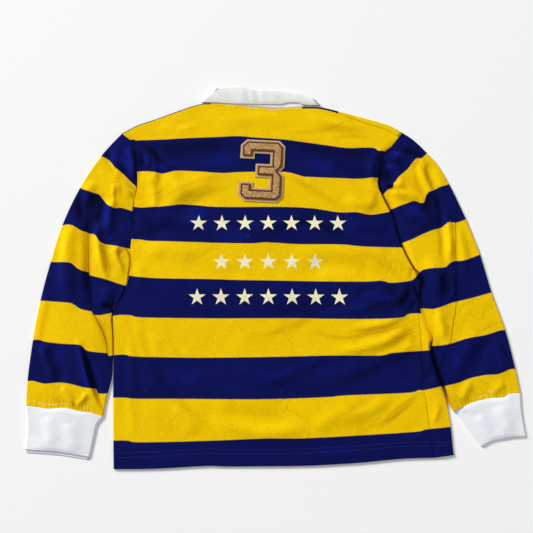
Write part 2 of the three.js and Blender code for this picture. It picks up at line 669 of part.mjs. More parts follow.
// Outline of a plain block numeral with cut corners, anticlockwise
function numeralOutline() {
  const { width: w, height: h } = NUMERAL;
  const [stroke, arm, c, waist] = [NUMERAL_STROKE, NUMERAL_ARM, NUMERAL_CUT, NUMERAL_WAIST];
  const inner = w - stroke;
  const half = h / 2;
  return [[c, 0], [w - c, 0], [w, c], [w, half - waist.half], [w - waist.depth, half],
    [w, half + waist.half], [w, h - c], [w - c, h], [c, h], [0, h - c], [0, h - arm],
    [stroke, h - arm], [stroke, h - stroke], [inner, h - stroke], [inner, half + stroke / 2],
    [waist.reach, half + stroke / 2], [waist.reach, half - stroke / 2], [inner, half - stroke / 2],
    [inner, stroke], [stroke, stroke], [stroke, arm], [0, arm], [0, c]];
}

// The same outline, drawn in by a border
function inset(points, border) {
  return points.map((point, k) => {
    const before = points[(k + points.length - 1) % points.length];
    const after = points[(k + 1) % points.length];
    const [a, b] = [away(before, point), away(point, after)];
    const bend = 1 + a[0] * b[0] + a[1] * b[1];
    return [point[0] - (a[1] + b[1]) * border / bend, point[1] + (a[0] + b[0]) * border / bend];
  });
}

function numeral(border, low, height) {
  const outline = inset(numeralOutline(), border);
  const shape = new THREE.Shape(outline.map(([x, y]) => new THREE.Vector2(x, y)));
  const geometry = new THREE.ExtrudeGeometry(shape, { depth: height, bevelEnabled: false });
  geometry.translate(-NUMERAL.width / 2, -NUMERAL.height / 2, 0);
  geometry.rotateZ(radians(NUMERAL.tilt));
  geometry.translate(NUMERAL.x + NUMERAL.width / 2, NUMERAL.y + NUMERAL.height / 2, low);
  return geometry;
}

const shirt = new THREE.Group();
function piece(name, geometry, finish) {
  const mesh = new THREE.Mesh(geometry, new THREE.MeshStandardMaterial(finish));
  mesh.name = name;
  shirt.add(mesh);
  return mesh;
}

piece('front_panel', frontPanel(), NAVY_JERSEY);
piece('back_panel', backPanel(), YELLOW_JERSEY);
piece('sleeve_left', sleeve({
  outer: LEFT_SLEEVE_OUTER,
  inner: LEFT_SLEEVE_INNER,
  armhole: LEFT_ARMHOLE,
  cuffSeam: LEFT_CUFF_SEAM,
  shift: -SEAM,
  floor: onFloor,
}), YELLOW_JERSEY);
piece('sleeve_right', sleeve({
  outer: RIGHT_SLEEVE_OUTER,
  inner: RIGHT_SLEEVE_INNER,
  armhole: RIGHT_ARMHOLE,
  cuffSeam: RIGHT_CUFF_SEAM,
  shift: SEAM,
  floor: overBody,
}), YELLOW_JERSEY);
piece('cuff_left', cuff({
  seam: LEFT_CUFF_SEAM,
  outer: LEFT_CUFF_OUTER,
  inner: LEFT_CUFF_INNER,
  end: LEFT_CUFF_END,
}), WHITE_RIB);
piece('cuff_right', cuff({
  seam: RIGHT_CUFF_SEAM,
  outer: RIGHT_CUFF_OUTER,
  inner: RIGHT_CUFF_INNER,
  end: RIGHT_CUFF_END,
}), WHITE_RIB);

const stations = collarStations();
piece('collar_stand', collarStand(stations), WHITE_TWILL);
piece('collar_leaf', collarLeaf(stations), WHITE_TWILL);

piece('placket_upper', placketBand(-CLEAR, OVER_BUTTONS), WHITE_TWILL);
piece('placket_under', placketBand(BAND_OVERLAP, OVER_BUTTONS + WALL + CLEAR), WHITE_TWILL);
const [middleX, neckY] = frontNeck(NECK_MIDDLE);
[0, 1, 2].forEach((k) => {
  const disc = piece(`button_${k + 1}`, button(), RUBBER);
  disc.position.set(middleX, neckY - FIRST_BUTTON - BUTTON_SPACING * k, CLEAR);
});

const clothTop = backTop(
  NUMERAL.x + NUMERAL.width / 2,
  NUMERAL.y + NUMERAL.height / 2,
  NECK_MIDDLE,
  0.8,
);
piece('patch_felt', numeral(0, clothTop + CLEAR, FELT), TAN_FELT);
piece('patch_chenille', numeral(NUMERAL_BORDER, clothTop + FELT + 2 * CLEAR, CHENILLE), TAN_PILE);

export default shirt;
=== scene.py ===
import math

import bpy
import numpy as np
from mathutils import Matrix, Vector


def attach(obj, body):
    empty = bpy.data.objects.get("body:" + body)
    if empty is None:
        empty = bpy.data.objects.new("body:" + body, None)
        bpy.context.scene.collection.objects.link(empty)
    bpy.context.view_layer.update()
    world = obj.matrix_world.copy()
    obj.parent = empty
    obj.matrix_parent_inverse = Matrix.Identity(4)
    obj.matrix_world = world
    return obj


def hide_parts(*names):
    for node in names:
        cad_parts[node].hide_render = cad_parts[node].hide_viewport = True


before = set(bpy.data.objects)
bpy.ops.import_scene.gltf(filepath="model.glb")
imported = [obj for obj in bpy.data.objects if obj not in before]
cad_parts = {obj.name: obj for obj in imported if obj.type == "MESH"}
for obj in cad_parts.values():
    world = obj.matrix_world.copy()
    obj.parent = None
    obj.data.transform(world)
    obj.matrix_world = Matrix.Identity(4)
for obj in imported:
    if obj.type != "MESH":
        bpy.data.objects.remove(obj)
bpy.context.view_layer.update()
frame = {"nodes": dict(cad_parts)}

MM = 0.001

TINY = 1e-6
FAR = 1e6

# Cloth and layers, in millimetres, as the solids have them
WALL = 1.4                                      # jersey, collar and cuffs
SEAM = 0.2                                      # half the gap of a seam
LAYER = 0.6                                     # air between the two layers of a fold
FOLD = WALL + LAYER / 2                         # radius of a folded edge
CLEAR = 0.3                                     # gap between pieces that lie on each other
COLLAR_MIDDLE = 2 * WALL + CLEAR + LAYER / 2    # height round which the collar turns
ROLL = 1.55                                     # radius of the collar's roll
STAND_TOP = 4                                   # from the roll down to the band's top
NECK_DROP = 80                                  # how far the front neck lies below the back neck

# How much higher cloth lies over the leaf, the buttons, the bands and the strip at the side
OVER_LEAF = WALL + CLEAR
OVER_BUTTONS = 2.2
OVER_BANDS = 1.6
OVER_STRIP = 1.0

# Shares of the body's height or width, and of half the neck's width
UNDERARM = 0.46
NECK_LEFT, NECK_RIGHT = 0.313, 0.645
NECK_MIDDLE, NECK_HALF = (NECK_LEFT + NECK_RIGHT) / 2, (NECK_RIGHT - NECK_LEFT) / 2
PLACKET_SHARE = 0.17
SQUEEZE_FROM = 0.6

# Numeral: its place and size, the widths of its parts and of the flat cloth round it
NUMERAL = {"x": -70, "y": 130, "width": 90, "height": 131, "tilt": -3}
NUMERAL_STROKE, NUMERAL_ARM, NUMERAL_CUT = 29, 41, 12
WAIST_HALF, WAIST_DEPTH, BAR_START = 9, 8, 32
NUMERAL_BORDER = 5
FELT = 1.4
CHENILLE = 2.6
NUMERAL_FLAT, NUMERAL_EASE = 20, 60
NUMERAL_HEIGHT = OVER_BUTTONS + OVER_BANDS + 2 * WALL + LAYER

# Outlines in millimetres, each from the hem or the centre outwards
HEM = [[-298, -384], [-220, -383], [-126, -378], [-84, -379], [46, -378], [96, -376],
       [160, -372], [235, -365], [296, -363]]
LEFT_SIDE = [[-298, -384], [-301, -331], [-305, -253], [-308, -173], [-314, -98], [-312, -82],
             [-302, -68], [-292, -54]]
LEFT_ARMHOLE = [[-292, -54], [-285, -19], [-285, 20], [-283, 60], [-282, 130], [-276, 165],
                [-279, 215], [-288, 256], [-312, 279]]
RIGHT_SIDE = [[296, -363], [291, -336], [289, -310], [285, -257], [280, -220], [281, -144],
              [279, -94], [279, -73]]
RIGHT_ARMHOLE = [[279, -73], [284, -48], [279, -18], [272, 3], [261, 24], [252, 44], [243, 68],
                 [234, 105], [218, 144], [209, 166], [215, 201], [224, 236], [244, 257], [263, 281]]
RIGHT_FOLD = [[332, -358], [331, -348], [329, -306], [324, -262], [322, -231], [318, -163],
              [314, -102]]
LEFT_SHOULDER = [[-312, 279], [-279, 298], [-248, 309], [-202, 327], [-155, 343], [-132, 345]]
BACK_NECK = [[-132, 345], [-100, 343], [-63, 339], [-36, 336], [-1, 333], [33, 334], [59, 337]]
RIGHT_SHOULDER = [[59, 337], [93, 337], [137, 327], [217, 304], [243, 294], [263, 281]]
LEFT_SLEEVE_OUTER = [[-312, 279], [-352, 230], [-391, 162], [-422, 83], [-440, 9], [-455, -68],
                     [-464, -144], [-469, -222], [-468, -268]]
LEFT_SLEEVE_INNER = [[-292, -54], [-303, -69], [-314, -83], [-314.6, -98], [-312, -128], [-309.6, -160],
                     [-308.6, -190], [-309.6, -218], [-316, -246], [-320, -271], [-322, -288]]
LEFT_CUFF_SEAM = [[-468, -268], [-453, -269], [-424, -273], [-395, -271], [-370, -277],
                  [-346, -280], [-322, -288]]
LEFT_CUFF_OUTER = [[-468, -268], [-464, -293], [-462, -317], [-464, -348]]
LEFT_CUFF_INNER = [[-322, -288], [-333, -302], [-337, -322], [-344, -362]]
LEFT_CUFF_END = [[-464, -348], [-400, -353], [-344, -362]]
RIGHT_SLEEVE_OUTER = [[263, 281], [286, 264], [311, 237], [331, 212], [352, 171], [365, 140],
                      [382, 96], [394, 60], [405, 25], [423, -52], [444, -125], [458, -200],
                      [464, -245]]
RIGHT_SLEEVE_INNER = [[279, -73], [282, -85], [287, -108], [298, -132], [298, -163], [306, -192],
                      [318, -232], [325, -259], [334, -278]]
RIGHT_CUFF_SEAM = [[464, -245], [445, -245], [430, -252], [404, -254], [374, -261], [351, -271],
                   [334, -278]]
RIGHT_CUFF_OUTER = [[464, -245], [464, -280], [468, -323]]
RIGHT_CUFF_INNER = [[334, -278], [344, -287], [357, -307], [370, -325], [383, -342]]
RIGHT_CUFF_END = [[468, -323], [442, -325], [410, -330], [398, -334], [383, -342]]
ROLL_BACK = [[-119, 378], [-74, 383], [-58, 379], [-38, 375], [11, 372], [48, 367], [79, 358]]
LEAF_BACK = [[-150, 347], [-134, 346], [-119, 345.5], [-75, 343], [9, 342], [25, 345], [46, 345.5],
             [68, 340.5], [96, 341]]
ROLL_LEFT = [[-38, 286], [-70, 302], [-98, 335], [-119, 378]]
LEAF_LEFT = [[-75, 218], [-100, 261], [-125, 303], [-150, 347]]
ROLL_RIGHT = [[-35, 286], [0, 300], [30, 324], [55, 344], [79, 358]]
LEAF_RIGHT = [[2, 218], [36, 258], [70, 300], [96, 341]]
LEFT_WRAP = [2.5, 2.5, 2.5]
RIGHT_WRAP = [4, 5, 13, 13]

# Lower edges of the hoops, from the top down; the first hoop is yellow
BODY_HOOPS = [
    [[-284, 264], [-211, 266], [-133, 269], [-76, 272], [-39, 269], [16, 265], [52, 260],
     [104, 252], [149, 246], [182, 248], [205, 247], [209, 241], [216, 240]],
    [[-278, 196], [-256, 197], [-225, 192], [-189, 197], [-152, 195], [-106, 192], [-70, 194],
     [15, 195], [52, 187], [62, 184], [147, 181], [210, 183]],
    [[-282, 123], [-261, 120], [-212, 123], [-184, 127], [-151, 125], [-110, 121], [15, 121],
     [77, 118], [127, 110], [163, 110], [191, 105], [227, 111]],
    [[-282, 55], [-263, 54], [-243, 51], [-155, 48], [-53, 45], [-16, 47], [50, 44], [131, 43],
     [176, 39], [252, 38]],
    [[-285, -18], [-260, -22], [-203, -25], [-128, -26], [-53, -28], [61, -30], [172, -31],
     [207, -29], [224, -33], [242, -32], [259, -30], [270, -27], [279, -18]],
    [[-314, -98], [-296, -96], [-276, -97], [-258, -101], [-147, -103], [46, -103], [107, -104],
     [207, -104], [247, -101], [259, -94], [282, -93]],
    [[-308, -173], [-285, -172], [-263, -176], [-146, -178], [-32, -177], [105, -174],
     [199, -174], [224, -169], [279, -165], [295, -164]],
    [[-306, -253], [-282, -253], [-258, -255], [-181, -255], [-28, -256], [98, -252],
     [129, -249], [250, -244], [271, -239], [283, -239], [314, -232]],
    [[-301, -331], [-274, -331], [-257, -334], [-179, -333], [-89, -330], [-17, -327],
     [46, -327], [152, -322], [262, -315], [282, -311], [330, -306]],
]
LEFT_SLEEVE_HOOPS = [
    [[-352, 230], [-335, 221], [-322, 205], [-305, 191], [-289, 175], [-276, 163]],
    [[-391, 162], [-379, 157], [-363, 151], [-351, 147], [-341, 135], [-332, 125], [-318, 118],
     [-305, 119], [-282, 113]],
    [[-422, 83], [-411, 85], [-399, 82], [-384, 73], [-369, 68], [-354, 64], [-341, 49],
     [-317, 44], [-294, 40]],
    [[-440, 9], [-407, 7], [-397, 5], [-386, -4], [-376, -9], [-363, -12], [-350, -16],
     [-338, -19], [-320, -25], [-304, -31], [-288, -36]],
    [[-455, -68], [-399, -73], [-387, -77], [-374, -85], [-352, -90], [-340, -92], [-329, -90],
     [-321, -88]],
    [[-464, -144], [-451, -144], [-437, -148], [-403, -152], [-372, -154], [-357, -165],
     [-321, -169], [-310, -168]],
    [[-469, -222], [-457, -222], [-435, -227], [-410, -225], [-388, -227], [-360, -234],
     [-338, -237], [-333, -245], [-316, -245]],
]
RIGHT_SLEEVE_HOOPS = [
    [[218, 147], [229, 158], [238, 162], [240, 172], [244, 175], [251, 185], [270, 202], [282, 218],
     [289, 225], [299, 225], [311, 236]],
    [[235, 118], [263, 128], [279, 133], [293, 129], [300, 132], [303, 143], [308, 151],
     [316, 154], [331, 163], [341, 166], [353, 170]],
    [[253, 47], [272, 54], [292, 64], [311, 72], [330, 78], [337, 83], [347, 89], [362, 89],
     [382, 96]],
    [[281, -16], [288, -9], [301, -6], [324, -4], [335, -2], [343, 5], [353, 10], [371, 11],
     [390, 18], [405, 24]],
    [[282, -85], [287, -84], [294, -85], [308, -85], [322, -81], [343, -73], [351, -71],
     [380, -64], [423, -52]],
    [[298, -156], [315, -155], [334, -152], [370, -141], [404, -135], [433, -126], [444, -125]],
    [[318, -232], [348, -225], [369, -217], [399, -211], [424, -209], [447, -200], [458, -200]],
]

# Seam lines that show on the upper side
LEFT_SLEEVE_SEAM = [[-371, 115], [-369, 69], [-366, 23], [-363, -12], [-358, -47], [-353, -87],
                    [-342, -105], [-331, -125], [-322, -147], [-319, -169], [-312, -191]]
RIGHT_SLEEVE_SEAM = [[366, 126], [360, 76], [352, -70], [345, -107], [338, -144], [334, -152],
                     [321, -183], [314, -205]]

# Share by which the cloth is drawn up below the last hoop's edge, and down above the middle
HEM_RISE, TOP_SINK = 0.03, 0.006
LAST_HOOP_EDGE = -330

FLOOR_SOFTNESS = 1.6


# Curves and grids

def smooth(table, samples=220):
    """Points on a smooth curve through the points of a table, with their shares of its length."""
    points = np.array(table, float)
    y = points[:, 1]
    points[:, 1] += HEM_RISE * np.maximum(0, LAST_HOOP_EDGE - y) - TOP_SINK * np.maximum(0, y)
    lengths = np.concatenate([[0], np.cumsum(np.hypot(*np.diff(points, axis=0).T))])
    shares = np.linspace(0, 1, samples)
    target = shares * lengths[-1]
    k = np.clip(np.searchsorted(lengths, target, side="left"), 1, len(points) - 1)
    t = ((target - lengths[k - 1]) / (lengths[k] - lengths[k - 1]))[:, None]
    last = len(points) - 1
    p0, p1, p2, p3 = (points[np.clip(k + n, 0, last)] for n in (-2, -1, 0, 1))
    curve = 0.5 * (2 * p1 + (p2 - p0) * t + (2 * p0 - 5 * p1 + 4 * p2 - p3) * t ** 2
                   + (3 * p1 - p0 - 3 * p2 + p3) * t ** 3)
    return shares, curve


def on(table):
    """A function from shares of the curve's length to its points."""
    shares, curve = smooth(table)
    return lambda s: np.stack([np.interp(s, shares, curve[:, 0]),
                               np.interp(s, shares, curve[:, 1])], -1)


def ease(t):
    """A soft climb from 0 to 1."""
    k = np.clip(t, 0, 1)
    return k * k * (3 - 2 * k)


def from_sides(u, share):
    """A climb from both ends of a length or width, each over a share of it."""
    return ease(np.minimum(u, 1 - u) / share)


def to_end(v, share):
    """A climb over the last share of a length."""
    return ease((v - (1 - share)) / share)


def never_below(height, slack):
    """A height that eases out above -slack, instead of falling further."""
    return np.logaddexp(0, (height + slack) * FLOOR_SOFTNESS) / FLOOR_SOFTNESS - slack


def to_segment(x, y, a, b):
    """Where on the segment a to b each point is nearest, as a share, with its gap in x and in y."""
    step = b - a
    t = np.clip(((x - a[0]) * step[0] + (y - a[1]) * step[1]) / (step @ step), 0, 1)
    return t, x - a[0] - step[0] * t, y - a[1] - step[1] * t


def from_box(x, y, x0, x1, y0, y1):
    """Distance to a box on the floor plan, 0 inside it."""
    return np.hypot(np.maximum(np.maximum(x0 - x, x - x1), 0),
                    np.maximum(np.maximum(y0 - y, y - y1), 0))


def patch(start, end, left, right):
    """A flat piece with four curved sides, over shares u across and v along."""
    def at(u, v):
        u1, v1 = u[..., None], v[..., None]
        sides = left(v) * (1 - u1) + right(v) * u1
        ends = start(u) * (1 - v1) + end(u) * v1
        zero, one = np.zeros_like(u), np.ones_like(u)
        corners = ((start(zero) * (1 - u1) + start(one) * u1) * (1 - v1)
                   + (end(zero) * (1 - u1) + end(one) * u1) * v1)
        return sides + ends - corners
    return at


def body_top(u):
    """The top edge of the body: left shoulder, back neck and right shoulder."""
    shoulder_left, neck, shoulder_right = on(LEFT_SHOULDER), on(BACK_NECK), on(RIGHT_SHOULDER)
    in_left, in_right = (u < NECK_LEFT)[..., None], (u > NECK_RIGHT)[..., None]
    middle = neck((u - NECK_LEFT) / (NECK_RIGHT - NECK_LEFT))
    return np.where(in_left, shoulder_left(u / NECK_LEFT),
                    np.where(in_right, shoulder_right((u - NECK_RIGHT) / (1 - NECK_RIGHT)), middle))


def up_side(side, armhole):
    """A side of the body: the side seam up to the underarm, then the armhole."""
    low, high = on(side), on(armhole)
    return lambda v: np.where((v < UNDERARM)[..., None], low(v / UNDERARM),
                              high((v - UNDERARM) / (1 - UNDERARM)))


body = patch(on(HEM), body_top, up_side(LEFT_SIDE, LEFT_ARMHOLE), up_side(RIGHT_SIDE, RIGHT_ARMHOLE))


def neck_drop(u):
    """How far below the back neck the front neck lies, at shares across the body."""
    share = (u - NECK_MIDDLE) / NECK_HALF
    return np.where(np.abs(share) < 1, NECK_DROP * (1 - share ** 2), 0)


# Boxes on the floor plan that the placket and the leaf lie in, and how far round them cloth still
# stands higher
PLACKET_BOX = (-62, -10, 78, 258)
LEAF_BOX = (-158, 104, 205, 400)
BOX_MARGIN = 70


def zone(x, y, box):
    """1 inside a box, falling to 0 over a margin round it."""
    return ease(1 - from_box(x, y, *box) / BOX_MARGIN)


def over_placket(x, y):
    return zone(x, y, PLACKET_BOX)


def front_base(x, y):
    """Height of the front's under face, which lies over the leaf's points and the buttons."""
    return np.maximum(OVER_LEAF * zone(x, y, LEAF_BOX), OVER_BUTTONS * over_placket(x, y))


def near_numeral(x, y):
    """1 where the numeral holds the back flat, and 0 well away from it."""
    left, low = NUMERAL["x"], NUMERAL["y"]
    gap = from_box(x, y, left, left + NUMERAL["width"], low, low + NUMERAL["height"])
    return ease(1 - np.maximum(0, gap - NUMERAL_FLAT) / NUMERAL_EASE)


# Folds: a soft ridge, or a trough where the height is negative. Each row has its route, half width,
# height before the gain, and how sharp its top is
FOLDS = [
    # back, round the left armhole
    ([[-268, 258], [-250, 235], [-240, 200], [-246, 160]], 9, 2.2, 1.2),
    ([[-256, 250], [-236, 225], [-226, 192], [-232, 158]], 8, -1.4, 1.0),
    ([[-232, 236], [-205, 200], [-196, 170], [-176, 142]], 12, 2.0, 1.0),
    ([[-215, 245], [-180, 205], [-150, 188]], 14, -1.4, 1.0),
    ([[-268, 192], [-246, 168], [-238, 140], [-240, 112]], 9, 2.8, 1.2),
    ([[-280, 150], [-262, 128], [-232, 118]], 7, 2.0, 1.3),
    ([[-222, 118], [-186, 150], [-140, 168], [-90, 172]], 17, 2.6, 1.0),
    ([[-200, 110], [-160, 128], [-110, 138]], 16, -2.0, 1.0),
    ([[-252, 96], [-214, 104], [-178, 84], [-120, 66]], 15, 3.0, 1.0),
    ([[-250, 70], [-200, 76], [-150, 60]], 14, -2.0, 1.0),
    # back, yellow yoke
    ([[-236, 300], [-196, 286], [-150, 296]], 13, 2.0, 1.0),
    ([[-120, 308], [-70, 300], [-20, 312], [30, 300]], 15, 1.8, 1.0),
    ([[-60, 288], [0, 282], [50, 290]], 11, -1.6, 1.0),
    ([[60, 318], [120, 300], [190, 296]], 13, 2.2, 1.0),
    ([[90, 286], [150, 276], [210, 270]], 12, -1.8, 1.0),
    # back, right shoulder and armhole
    ([[108, 240], [150, 214], [186, 196], [208, 176]], 13, 3.4, 1.1),
    ([[120, 212], [160, 190], [200, 160]], 12, -2.4, 1.0),
    ([[222, 252], [204, 226], [196, 190], [200, 160]], 9, 3.0, 1.2),
    ([[208, 136], [180, 126], [140, 138]], 12, 2.4, 1.0),
    ([[226, 92], [190, 78], [140, 84]], 12, 2.0, 1.0),
    # back, middle
    ([[-58, 66], [0, 80], [60, 76], [118, 52]], 18, 2.0, 1.0),
    ([[30, 6], [86, 30], [150, 26], [226, -6]], 18, 1.4, 1.0),
    ([[40, -22], [96, 2], [160, -4], [220, -24]], 15, -1.6, 1.0),
    ([[-262, 20], [-214, 34], [-150, 22]], 16, 2.2, 1.0),
    ([[-255, 10], [-262, -10], [-250, -60]], 12, 2.0, 1.0),
    ([[-190, -60], [-110, -44], [-20, -62], [60, -54]], 20, 2.0, 1.0),
    # back, right underarm fan
    ([[276, -112], [232, -138], [170, -160], [110, -166]], 10, 3.0, 1.2),
    ([[272, -126], [230, -156], [180, -176]], 9, -0.8, 1.1),
    ([[272, -140], [240, -174], [196, -206]], 9, 1.0, 1.2),
    ([[262, -90], [214, -112], [150, -124]], 9, 2.4, 1.1),
    ([[264, -38], [244, -62], [214, -74]], 9, 2.4, 1.2),
    ([[268, -250], [232, -272], [196, -310]], 8, 0.9, 1.2),
    ([[262, -262], [224, -290], [184, -318]], 7, -0.6, 1.2),
    ([[220, -252], [176, -276], [120, -296]], 12, 2.2, 1.0),
    ([[150, -268], [110, -290], [66, -314]], 14, 2.0, 1.0),
    # back, lower left and hem
    ([[-264, -96], [-268, -180], [-262, -260], [-266, -340]], 9, 0.7, 1.1),
    ([[-282, -104], [-286, -200], [-282, -320]], 8, -0.7, 1.0),
    ([[-228, -130], [-226, -190], [-234, -250]], 12, 0.8, 1.0),
    ([[-120, -296], [-60, -312], [0, -318], [70, -304]], 16, 3.2, 1.1),
    ([[-96, -276], [-30, -292], [40, -292]], 17, -2.4, 1.0),
    ([[-190, -268], [-160, -296], [-150, -324]], 15, 1.8, 1.0),
    ([[238, -338], [262, -326], [288, -322]], 9, 2.0, 1.2),
    ([[-230, -376], [-160, -366], [-100, -372]], 10, 1.2, 1.0),
    ([[40, -366], [110, -360], [190, -356]], 11, 1.4, 1.0),
    ([[-150, -214], [-60, -206], [40, -222], [120, -212]], 22, 1.6, 1.0),
    # strip of the front at the right of the side seam
    ([[302, -130], [300, -190], [306, -236]], 7, 3.0, 1.2),
    ([[310, -262], [300, -290], [292, -300]], 6, 1.8, 1.2),
    # left sleeve
    ([[-318, 262], [-322, 226], [-306, 190]], 11, 4.0, 1.0),
    ([[-336, 236], [-332, 210], [-318, 186]], 9, -2.4, 1.0),
    ([[-296, 250], [-286, 214], [-284, 176]], 7, 2.8, 1.2),
    ([[-372, 178], [-374, 150], [-378, 118]], 13, 3.2, 1.0),
    ([[-348, 150], [-352, 110], [-350, 70]], 12, -3.2, 1.0),
    ([[-322, 140], [-326, 100], [-322, 64]], 10, 3.4, 1.1),
    ([[-318, 168], [-300, 160], [-284, 142]], 7, 2.2, 1.3),
    ([[-320, 172], [-322, 146], [-318, 122]], 5, 1.8, 1.3),
    ([[-402, 108], [-409, 56], [-408, 2], [-403, -51], [-392, -93]], 16, 4.0, 1.0),
    ([[-370, 100], [-366, 40], [-362, -20], [-352, -90]], 9, -3.0, 1.0),
    ([[-352, 100], [-348, 50], [-340, 10], [-326, -32]], 8, 2.8, 1.2),
    ([[-334, 46], [-328, 16], [-316, -24]], 8, -2.0, 1.0),
    ([[-300, 50], [-312, 30], [-302, 4], [-296, -22]], 7, 2.2, 1.2),
    ([[-304, 34], [-302, 18], [-290, 10]], 5, -1.2, 1.2),
    ([[-330, -40], [-326, -64], [-332, -86]], 13, 2.2, 1.0),
    ([[-446, -150], [-432, -186], [-412, -226]], 11, 3.4, 1.2),
    ([[-428, -150], [-414, -190], [-396, -222]], 12, -2.2, 1.0),
    ([[-380, -140], [-366, -176], [-352, -220], [-330, -272]], 7, 3.8, 1.3),
    ([[-368, -150], [-352, -190], [-338, -232], [-326, -266]], 6, -3.0, 1.1),
    ([[-444, -40], [-454, -110], [-458, -160]], 9, 2.0, 1.0),
    ([[-402, -232], [-388, -250], [-376, -268]], 7, 2.2, 1.2),
    ([[-352, -244], [-362, -258], [-374, -270]], 6, 2.0, 1.2),
    # right sleeve
    ([[262, 262], [292, 232], [316, 204]], 9, 3.4, 1.1),
    ([[256, 246], [282, 232], [306, 208]], 8, -2.8, 1.0),
    ([[240, 232], [266, 226], [286, 206]], 8, 2.6, 1.1),
    ([[228, 206], [248, 208], [258, 194]], 7, 2.8, 1.2),
    ([[222, 190], [236, 176], [252, 178]], 6, -2.8, 1.1),
    ([[216, 168], [238, 164], [262, 170]], 7, 2.8, 1.2),
    ([[228, 158], [244, 160], [262, 152]], 5, -2.6, 1.2),
    ([[296, 218], [300, 188], [312, 156], [324, 120]], 9, 4.6, 1.1),
    ([[310, 214], [318, 180], [330, 148]], 8, -3.0, 1.0),
    ([[326, 204], [336, 176], [344, 150]], 8, 2.6, 1.1),
    ([[232, 150], [262, 146], [290, 136]], 7, 3.0, 1.2),
    ([[338, 122], [345, 84], [346, 40], [342, 0]], 8, 3.8, 1.1),
    ([[328, 110], [332, 60], [329, 10]], 6, -2.4, 1.0),
    ([[362, 78], [372, 30], [374, -20]], 10, 2.8, 1.0),
    ([[276, 64], [292, 88], [320, 96]], 13, 2.2, 1.0),
    ([[300, 20], [314, -20], [312, -60]], 12, 2.6, 1.0),
    ([[344, -14], [346, -50], [338, -70]], 7, 3.0, 1.2),
    ([[330, -14], [332, -50], [322, -74]], 8, -2.4, 1.0),
    ([[306, -96], [320, -120], [316, -146]], 9, 1.6, 1.1),
    ([[324, -96], [334, -124], [330, -146]], 9, -0.8, 1.0),
    ([[390, -130], [366, -162], [346, -200], [340, -236]], 14, 3.0, 1.0),
    ([[410, -140], [392, -176], [372, -212]], 13, -2.2, 1.0),
    ([[426, -140], [432, -180], [440, -210]], 9, 2.4, 1.0),
    ([[372, -222], [360, -240], [350, -262]], 9, 2.2, 1.1),
    ([[436, -226], [420, -236], [408, -250]], 8, 1.8, 1.1),
    # cuffs
    ([[-430, -288], [-418, -320], [-426, -346]], 14, 1.4, 1.0),
    ([[-388, -300], [-376, -330], [-372, -350]], 12, 1.2, 1.0),
    ([[352, -278], [372, -286], [388, -284]], 6, -1.2, 1.2),
    ([[420, -268], [430, -296], [436, -318]], 15, 1.4, 1.0),
]
FOLD_GAIN = 1.5
ROUTE_SAMPLES, ROUTE_REACH = 26, 3


def along_route(route, x, y, reach):
    """Distance to a smoothed route and the share of its length there, for points within reach."""
    shares, line = route
    best, place = np.full(x.shape, FAR), np.zeros(x.shape)
    low, high = line.min(axis=0) - reach, line.max(axis=0) + reach
    near = (x > low[0]) & (x < high[0]) & (y > low[1]) & (y < high[1])
    px, py, gap, at = x[near], y[near], best[near], place[near]
    for k in range(len(line) - 1):
        t, gap_x, gap_y = to_segment(px, py, line[k], line[k + 1])
        here = np.hypot(gap_x, gap_y)
        closer = here < gap
        gap = np.where(closer, here, gap)
        at = np.where(closer, shares[k] + t * (shares[k + 1] - shares[k]), at)
    best[near], place[near] = gap, at
    return best, place


